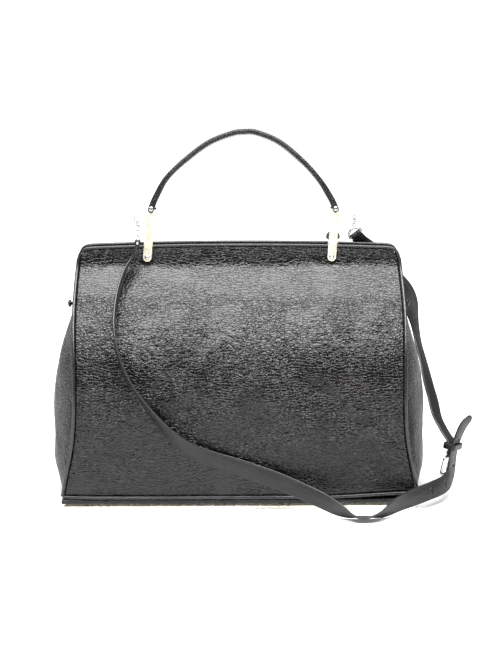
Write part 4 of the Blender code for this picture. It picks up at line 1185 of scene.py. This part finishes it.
def handle_line():
    start = ARM_PIVOT["left"]
    line = smooth_line([(x, start.y + (z - start.z) * math.tan(HANDLE_LEAN), z) for x, z in HANDLE_LINE], 8)
    first, last = (line[0] - line[1]).normalized(), (line[-1] - line[-2]).normalized()
    before = [line[0] + first * reach for reach in (0.0032, 0.0016)]
    after = [line[-1] + last * reach for reach in (0.0016, 0.0032)]
    return before + line + after


def handle(mats):
    """A folded and stitched leather handle, wide in the middle and narrow at the eyes."""
    out = arm_axes()[2]
    line = handle_line()
    run = walk(line)
    rings, tracks = [], {}
    for i, point in enumerate(line):
        ahead = (line[min(i + 1, len(line) - 1)] - line[max(i - 1, 0)]).normalized()
        side = ahead.cross(out)
        near_end = min(run[i], run[-1] - run[i])
        grow = step(0.008, 0.045, near_end)
        half_wide, half_thick = 0.0033 + 0.0027 * grow, 0.0031 - 0.0006 * grow
        tip = 0.72 + 0.28 * step(0.0, 0.0025, near_end)
        ring = []
        for k in range(28):
            turn = math.tau * k / 28
            c, s = math.cos(turn), math.sin(turn)
            pinch = 1.0 - 0.07 * math.exp(-((abs(c) - 0.80) / 0.05) ** 2)
            ring.append(point + out * half_wide * tip * squared(c, 0.55)
                        + side * half_thick * tip * pinch * squared(s, 0.55))
        rings.append(ring)
        for key, where, face in (("a", 0.66, 1), ("b", -0.66, 1), ("c", 0.66, -1), ("d", -0.66, -1)):
            if 0.014 < near_end:
                tracks.setdefault(key, []).append(
                    (point + out * half_wide * where + side * half_thick * face * 0.92, side * face))
    obj = skin("handle_look", rings, sharp=60)
    finish(obj, mats["handle"], "grip", "black_leather", "handle")
    thread = merge("handle_stitches", [stitches(f"handle_row_{key}", track, 0.0030, 0.0021, 0.00022)
                                       for key, track in tracks.items()], 70)
    finish(thread, mats["thread"], "grip", "black_leather")
    for which, sign in (("left", 1), ("right", -1)):
        handle_end(which, sign, mats)


def handle_end(which, sign, mats):
    """The turned-back end of the handle's leather at an eye, which points inward."""
    place = arm_place(which) @ Matrix.Translation((0, EYE_AT, 0))
    route = ((0.0016, 0.0028), (0.0030, 0.0014), (0.0042, 0.0010), (0.0052, 0.0012))
    line = smooth_line([place @ Vector((sign * x, y, 0)) for x, y in route], 5)
    out = arm_axes()[2]
    rings = []
    for i, (point, side, _) in enumerate(frames(line, plane=out)):
        tip = 1.0 - 0.45 * step(0.7, 1.0, i / (len(line) - 1))
        rings.append(box_ring(point, out * 0.0028 * tip, side * 0.0012 * tip, (0.6, 0.7)))
    end = skin(f"handle_end_{which}", rings, sharp=60)
    finish(end, mats["handle"], "grip", "black_leather")


# ---- shoulder strap -------------------------------------------------------------------
# half of the section's outline, as shares of the strap's half width and of its half thickness
UPPER = [(-0.985, 0.55), (-0.94, 0.92), (-0.88, 1.05), (-0.80, 1.02), (-0.765, 0.84), (-0.73, 1.02),
         (-0.40, 1.10)]
LOWER = [(0.985, -0.55), (0.94, -0.92), (0.80, -1.05), (0.765, -0.90), (0.73, -1.02)]
SECTION = ([(-1.0, 0.0)] + UPPER + [(0.0, 1.13)] + [(-w, t) for w, t in reversed(UPPER)]
           + [(1.0, 0.0)] + LOWER + [(0.0, -1.05)] + [(-w, t) for w, t in reversed(LOWER)])
# the faces round the section that are painted edge
EDGE_FACES = (0, 1, 14, 15, 16, 17, 26, 27)


def strap_stations(route, steps=8):
    """(point, width direction, face normal, half width, distance) along a strap."""
    line = smooth_line([p for p, _ in route], steps)
    sides = smooth_line([w for _, w in route], steps)
    run = walk(line)
    made = []
    for i, (point, wide) in enumerate(zip(line, sides)):
        ahead = (line[min(i + 1, len(line) - 1)] - line[max(i - 1, 0)]).normalized()
        wide = (wide - ahead * wide.dot(ahead)).normalized()
        half = (STRAP_END_WIDE + (STRAP_WIDE - STRAP_END_WIDE) * step(0.0, 0.024, run[i])) / 2
        made.append((point, wide, ahead.cross(wide), half, run[i]))
    return made


def strap(name, route, mats, node, tail=0.0):
    """A stitched strap with painted edges; tail is how far its free end is rounded off."""
    stations = strap_stations(route)
    total = stations[-1][4]
    rings, rows = [], {"a": [], "b": [], "c": [], "d": []}
    for point, wide, flat, half, along in stations:
        left = total - along
        if tail and left < tail:
            half *= math.sqrt(max(1 - (1 - left / tail) ** 2, 0.04))
        rings.append([point + wide * half * w + flat * STRAP_HALF_THICK * t for w, t in SECTION])
        if 0.010 < along and left > tail + 0.002:
            for key, w, t in (("a", -0.765, 1), ("b", 0.765, 1), ("c", -0.765, -1), ("d", 0.765, -1)):
                rows[key].append((point + wide * half * w + flat * THREAD_AT * t, flat * t))
    obj = skin(name + "_look", rings, sharp=50)
    obj.data.materials.clear()
    obj.data.materials.append(mats["strap"])
    obj.data.materials.append(mats["edge"])
    around = len(SECTION)
    for polygon in obj.data.polygons:
        if polygon.index < around * (len(rings) - 1) and polygon.index % around in EDGE_FACES:
            polygon.material_index = 1
    thread = merge(name + "_stitches", [stitches(f"{name}_row_{key}", track, 0.0031, 0.0021)
                                        for key, track in rows.items()], 70)
    finish(thread, mats["thread"], "root", "black_leather")
    finish(obj, None, "root", "black_leather", node)
    return obj, thread, stations


def punch(obj, stations, distances, radius=0.0013):
    """Round holes through a strap."""
    holes = []
    for distance in distances:
        point, _, flat, _, _ = min(stations, key=lambda s: abs(s[4] - distance))
        profile = [(0, 0), (radius, 0), (radius, 0.008), (0, 0.008)]
        holes.append(turned("hole", profile, point - flat * 0.004, flat, 20))
    cutter = merge("strap_holes", holes)
    cut = obj.modifiers.new("holes", "BOOLEAN")
    cut.object, cut.solver, cut.operation = cutter, "EXACT", "DIFFERENCE"
    bpy.context.view_layer.update()
    mesh = bpy.data.meshes.new_from_object(obj.evaluated_get(bpy.context.evaluated_depsgraph_get()))
    obj.modifiers.remove(cut)
    obj.data = mesh
    bpy.data.objects.remove(cutter)


def strap_loop(name, middle, bar, mats):
    """The strap's end, folded round the ring's bar."""
    bar = Vector(bar).normalized()
    reach = bar.orthogonal().normalized() * 0.0022
    line = [Vector(middle) + Matrix.Rotation(math.radians(a), 3, bar) @ reach for a in range(0, 360, 18)]
    rings = [box_ring(point, bar * 0.0058, side * 0.0009, (0.4, 0.6))
             for point, side, _ in frames(line, plane=bar, loop=True)]
    return finish(skin(name, rings, loop=True, sharp=60), mats["strap"], "root", "black_leather")


def d_ring(name, middle, bar, arch, mats, node):
    bar, arch, middle = Vector(bar).normalized(), Vector(arch).normalized(), Vector(middle)
    radius = 0.0070
    line = [middle + bar * x + arch * y for x, y in arc(radius, 0, 180, 10)]
    line += [middle - bar * radius * t for t in (0.6, 0.2, -0.2, -0.6)]
    ring = tube(name, line, WIRE_R, plane=bar.cross(arch), loop=True)
    return finish(ring, mats["silver"], "root", "silver_metal", node)


def chain(name, route, links, body_name, mats, node):
    """A chain of oval links, each turned a quarter from the last."""
    line = resample(smooth_line(route, 12), 0.0001)
    made = []
    for i in range(links):
        a, b = [line[int((i + share) / links * (len(line) - 1))] for share in (0.02, 0.98)]
        ahead = (b - a).normalized()
        side = ahead.orthogonal().normalized()
        side = Matrix.Rotation(math.radians(35 + 90 * (i % 2)), 3, ahead) @ side
        half = (b - a).length / 2 + 0.0007
        oval = rounded_loop(half, 0.0013, 0.0013, 5)
        middle = (a + b) / 2
        made.append(tube(f"{name}_{i}", [middle + ahead * x + side * y for x, y in oval], 0.00045,
                         plane=ahead.cross(side), loop=True, sides=10))
    obj = merge(name, made)
    finish(obj, mats["silver"], None, "silver_metal", node)
    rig.blend(obj, "root", body_name, route[-1], route[0])
    return obj


def buckle(mats):
    wide, tall = BUCKLE_HALF
    loop = rounded_loop(wide, tall, 0.0032)
    ring = tube("buckle_look", [BUCKLE_AT + BUCKLE_ACROSS * x + BUCKLE_UP * y for x, y in loop], WIRE_R,
                plane=BUCKLE_OUT, loop=True, sides=16)
    finish(ring, mats["silver"], "root", "silver_metal", "buckle")
    route = [(0.0068, -0.0012), (0.0092, -0.0022), (0.0112, 0.0000), (0.0092, 0.0022), (0.0066, 0.0020),
             (0.0020, 0.0012), (-0.0040, 0.0010), (-0.0085, 0.0019), (-0.0102, 0.0017)]
    line = smooth_line([BUCKLE_AT + BUCKLE_UP * up + BUCKLE_OUT * out for up, out in route], 6)
    prong = tube("buckle_prong_look", line, 0.0009, plane=BUCKLE_ACROSS,
                 swell=lambda t: 1.0 - 0.35 * step(0.8, 1.0, t))
    finish(prong, mats["silver"], "root", "silver_metal", "buckle_prong")
    middle = BUCKLE_AT + BUCKLE_UP * 0.0205 + BUCKLE_OUT * 0.0018
    outline = rounded_loop(0.0104, 0.0059, 0.0026)
    line = [middle + BUCKLE_ACROSS * x + BUCKLE_OUT * y for x, y in outline]
    rings = [box_ring(point, BUCKLE_UP * 0.0030, side * 0.0008, (0.4, 0.6))
             for point, side, _ in frames(line, plane=BUCKLE_UP, loop=True)]
    keeper = skin("strap_keeper_look", rings, loop=True, sharp=60)
    finish(keeper, mats["strap"], "root", "black_leather", "strap_keeper")
    return ring, prong, keeper


def shoulder_strap(mats):
    hung = []
    for which, middle, bar, arch, links in (
            ("left", (-0.0994, -0.0262, 0.2545), (0, 1, 0), (0.1, 0, 1),
             [(-0.1033, -0.0080, 0.2762), (-0.0990, -0.0165, 0.2695), (-0.0985, -0.0235, 0.2640)]),
            ("right", (0.1172, 0.0128, 0.2566), (0.8, 0, 0.6), (-0.6, 0, 0.8),
             [(0.1125, -0.0072, 0.2790), (0.1150, 0.0020, 0.2730), (0.1140, 0.0095, 0.2660)])):
        ring = d_ring(f"d_ring_{which}_look", middle, bar, arch, mats, f"d_ring_{which}")
        fall = chain(f"chain_{which}_look", links, 6, f"{which}_arm", mats, f"chain_{which}")
        hung.append([ring, fall, strap_loop(f"strap_loop_{which}", middle, bar, mats)])
    long_strap, long_thread, stations = strap("strap_long", STRAP_LONG, mats, "strap_long", tail=0.009)
    total = stations[-1][4]
    at_prong = min(stations, key=lambda s: (s[0] - BUCKLE_AT).length)[4]
    punch(long_strap, stations, [at_prong - 0.050, at_prong - 0.025, at_prong, at_prong + 0.027])
    short_strap, short_thread, short_stations = strap("strap_short", STRAP_SHORT, mats, "strap_short")
    fittings = list(buckle(mats))
    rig.cord(long_strap, exit=STRAP_LONG[0][0], length=total, diameter=STRAP_WIDE, far_end="bare",
            stiffness="medium", lay="hanging", path=[s[0] for s in stations],
            with_pieces=[long_thread] + hung[0])
    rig.cord(short_strap, exit=STRAP_SHORT[0][0], length=short_stations[-1][4], diameter=STRAP_WIDE,
            far_end="fitting", stiffness="medium", lay="hanging", path=[s[0] for s in short_stations],
            with_pieces=[short_thread] + fittings + hung[1])


def main():
    camera()
    mats = {
        "leather": leather_material("leather_look"),
        "side_leather": leather_material("side_leather_look", cell=0.0022, stretch=1.9, height=0.0010,
                                         tint=(0.0024, 0.0021, 0.0020), roughness=(0.36, 0.50), shine=0.16),
        "small_leather": leather_material("small_leather_look", "Object", 0.0016, 1.2, 0.00030),
        "handle": leather_material("handle_leather_look", "UV", 0.0015, 1.1, 0.00022, roughness=(0.26, 0.40)),
        "strap": leather_material("strap_leather_look", "UV", 0.0014, 1.1, 0.00022,
                                  tint=(0.006, 0.006, 0.007), roughness=(0.34, 0.50)),
        "edge": edge_material("edge_look"),
        "gold": metal_material("gold_look", (1.0, 0.93, 0.74), 0.24, dull=0.95, metallic=0.72),
        "silver": metal_material("silver_look", (0.60, 0.60, 0.60), 0.12),
        "polished": metal_material("polished_plate_look", (0.95, 0.88, 0.74), 0.2, dull=0.95, metallic=0.7),
        "steel": metal_material("steel_look", (0.46, 0.46, 0.47), 0.32, 0.00003),
        "lining": woven_material("lining_look_cloth", (0.22, 0.185, 0.15), 0.0008),
        "tape": woven_material("zip_tape_look_cloth", (0.03, 0.03, 0.032), 0.0006),
        "board": board_material(),
        "thread": thread_material(),
    }
    shoulder_strap(mats)
    body(mats["leather"], mats["side_leather"])
    piping(mats["edge"])
    base(mats)
    lining(mats)
    frame_parts(mats)
    zip_fastener(mats)
    for which, sign in (("left", -1), ("right", 1)):
        arm(which, sign, mats)
    handle(mats)
    studio()


main()
bpy.context.view_layer.update()
with open("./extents.json", "w") as out_file:
    json.dump({"cad": [list(corner) for corner in cad_box], "visual": [list(corner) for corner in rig.bounds()]}, out_file)
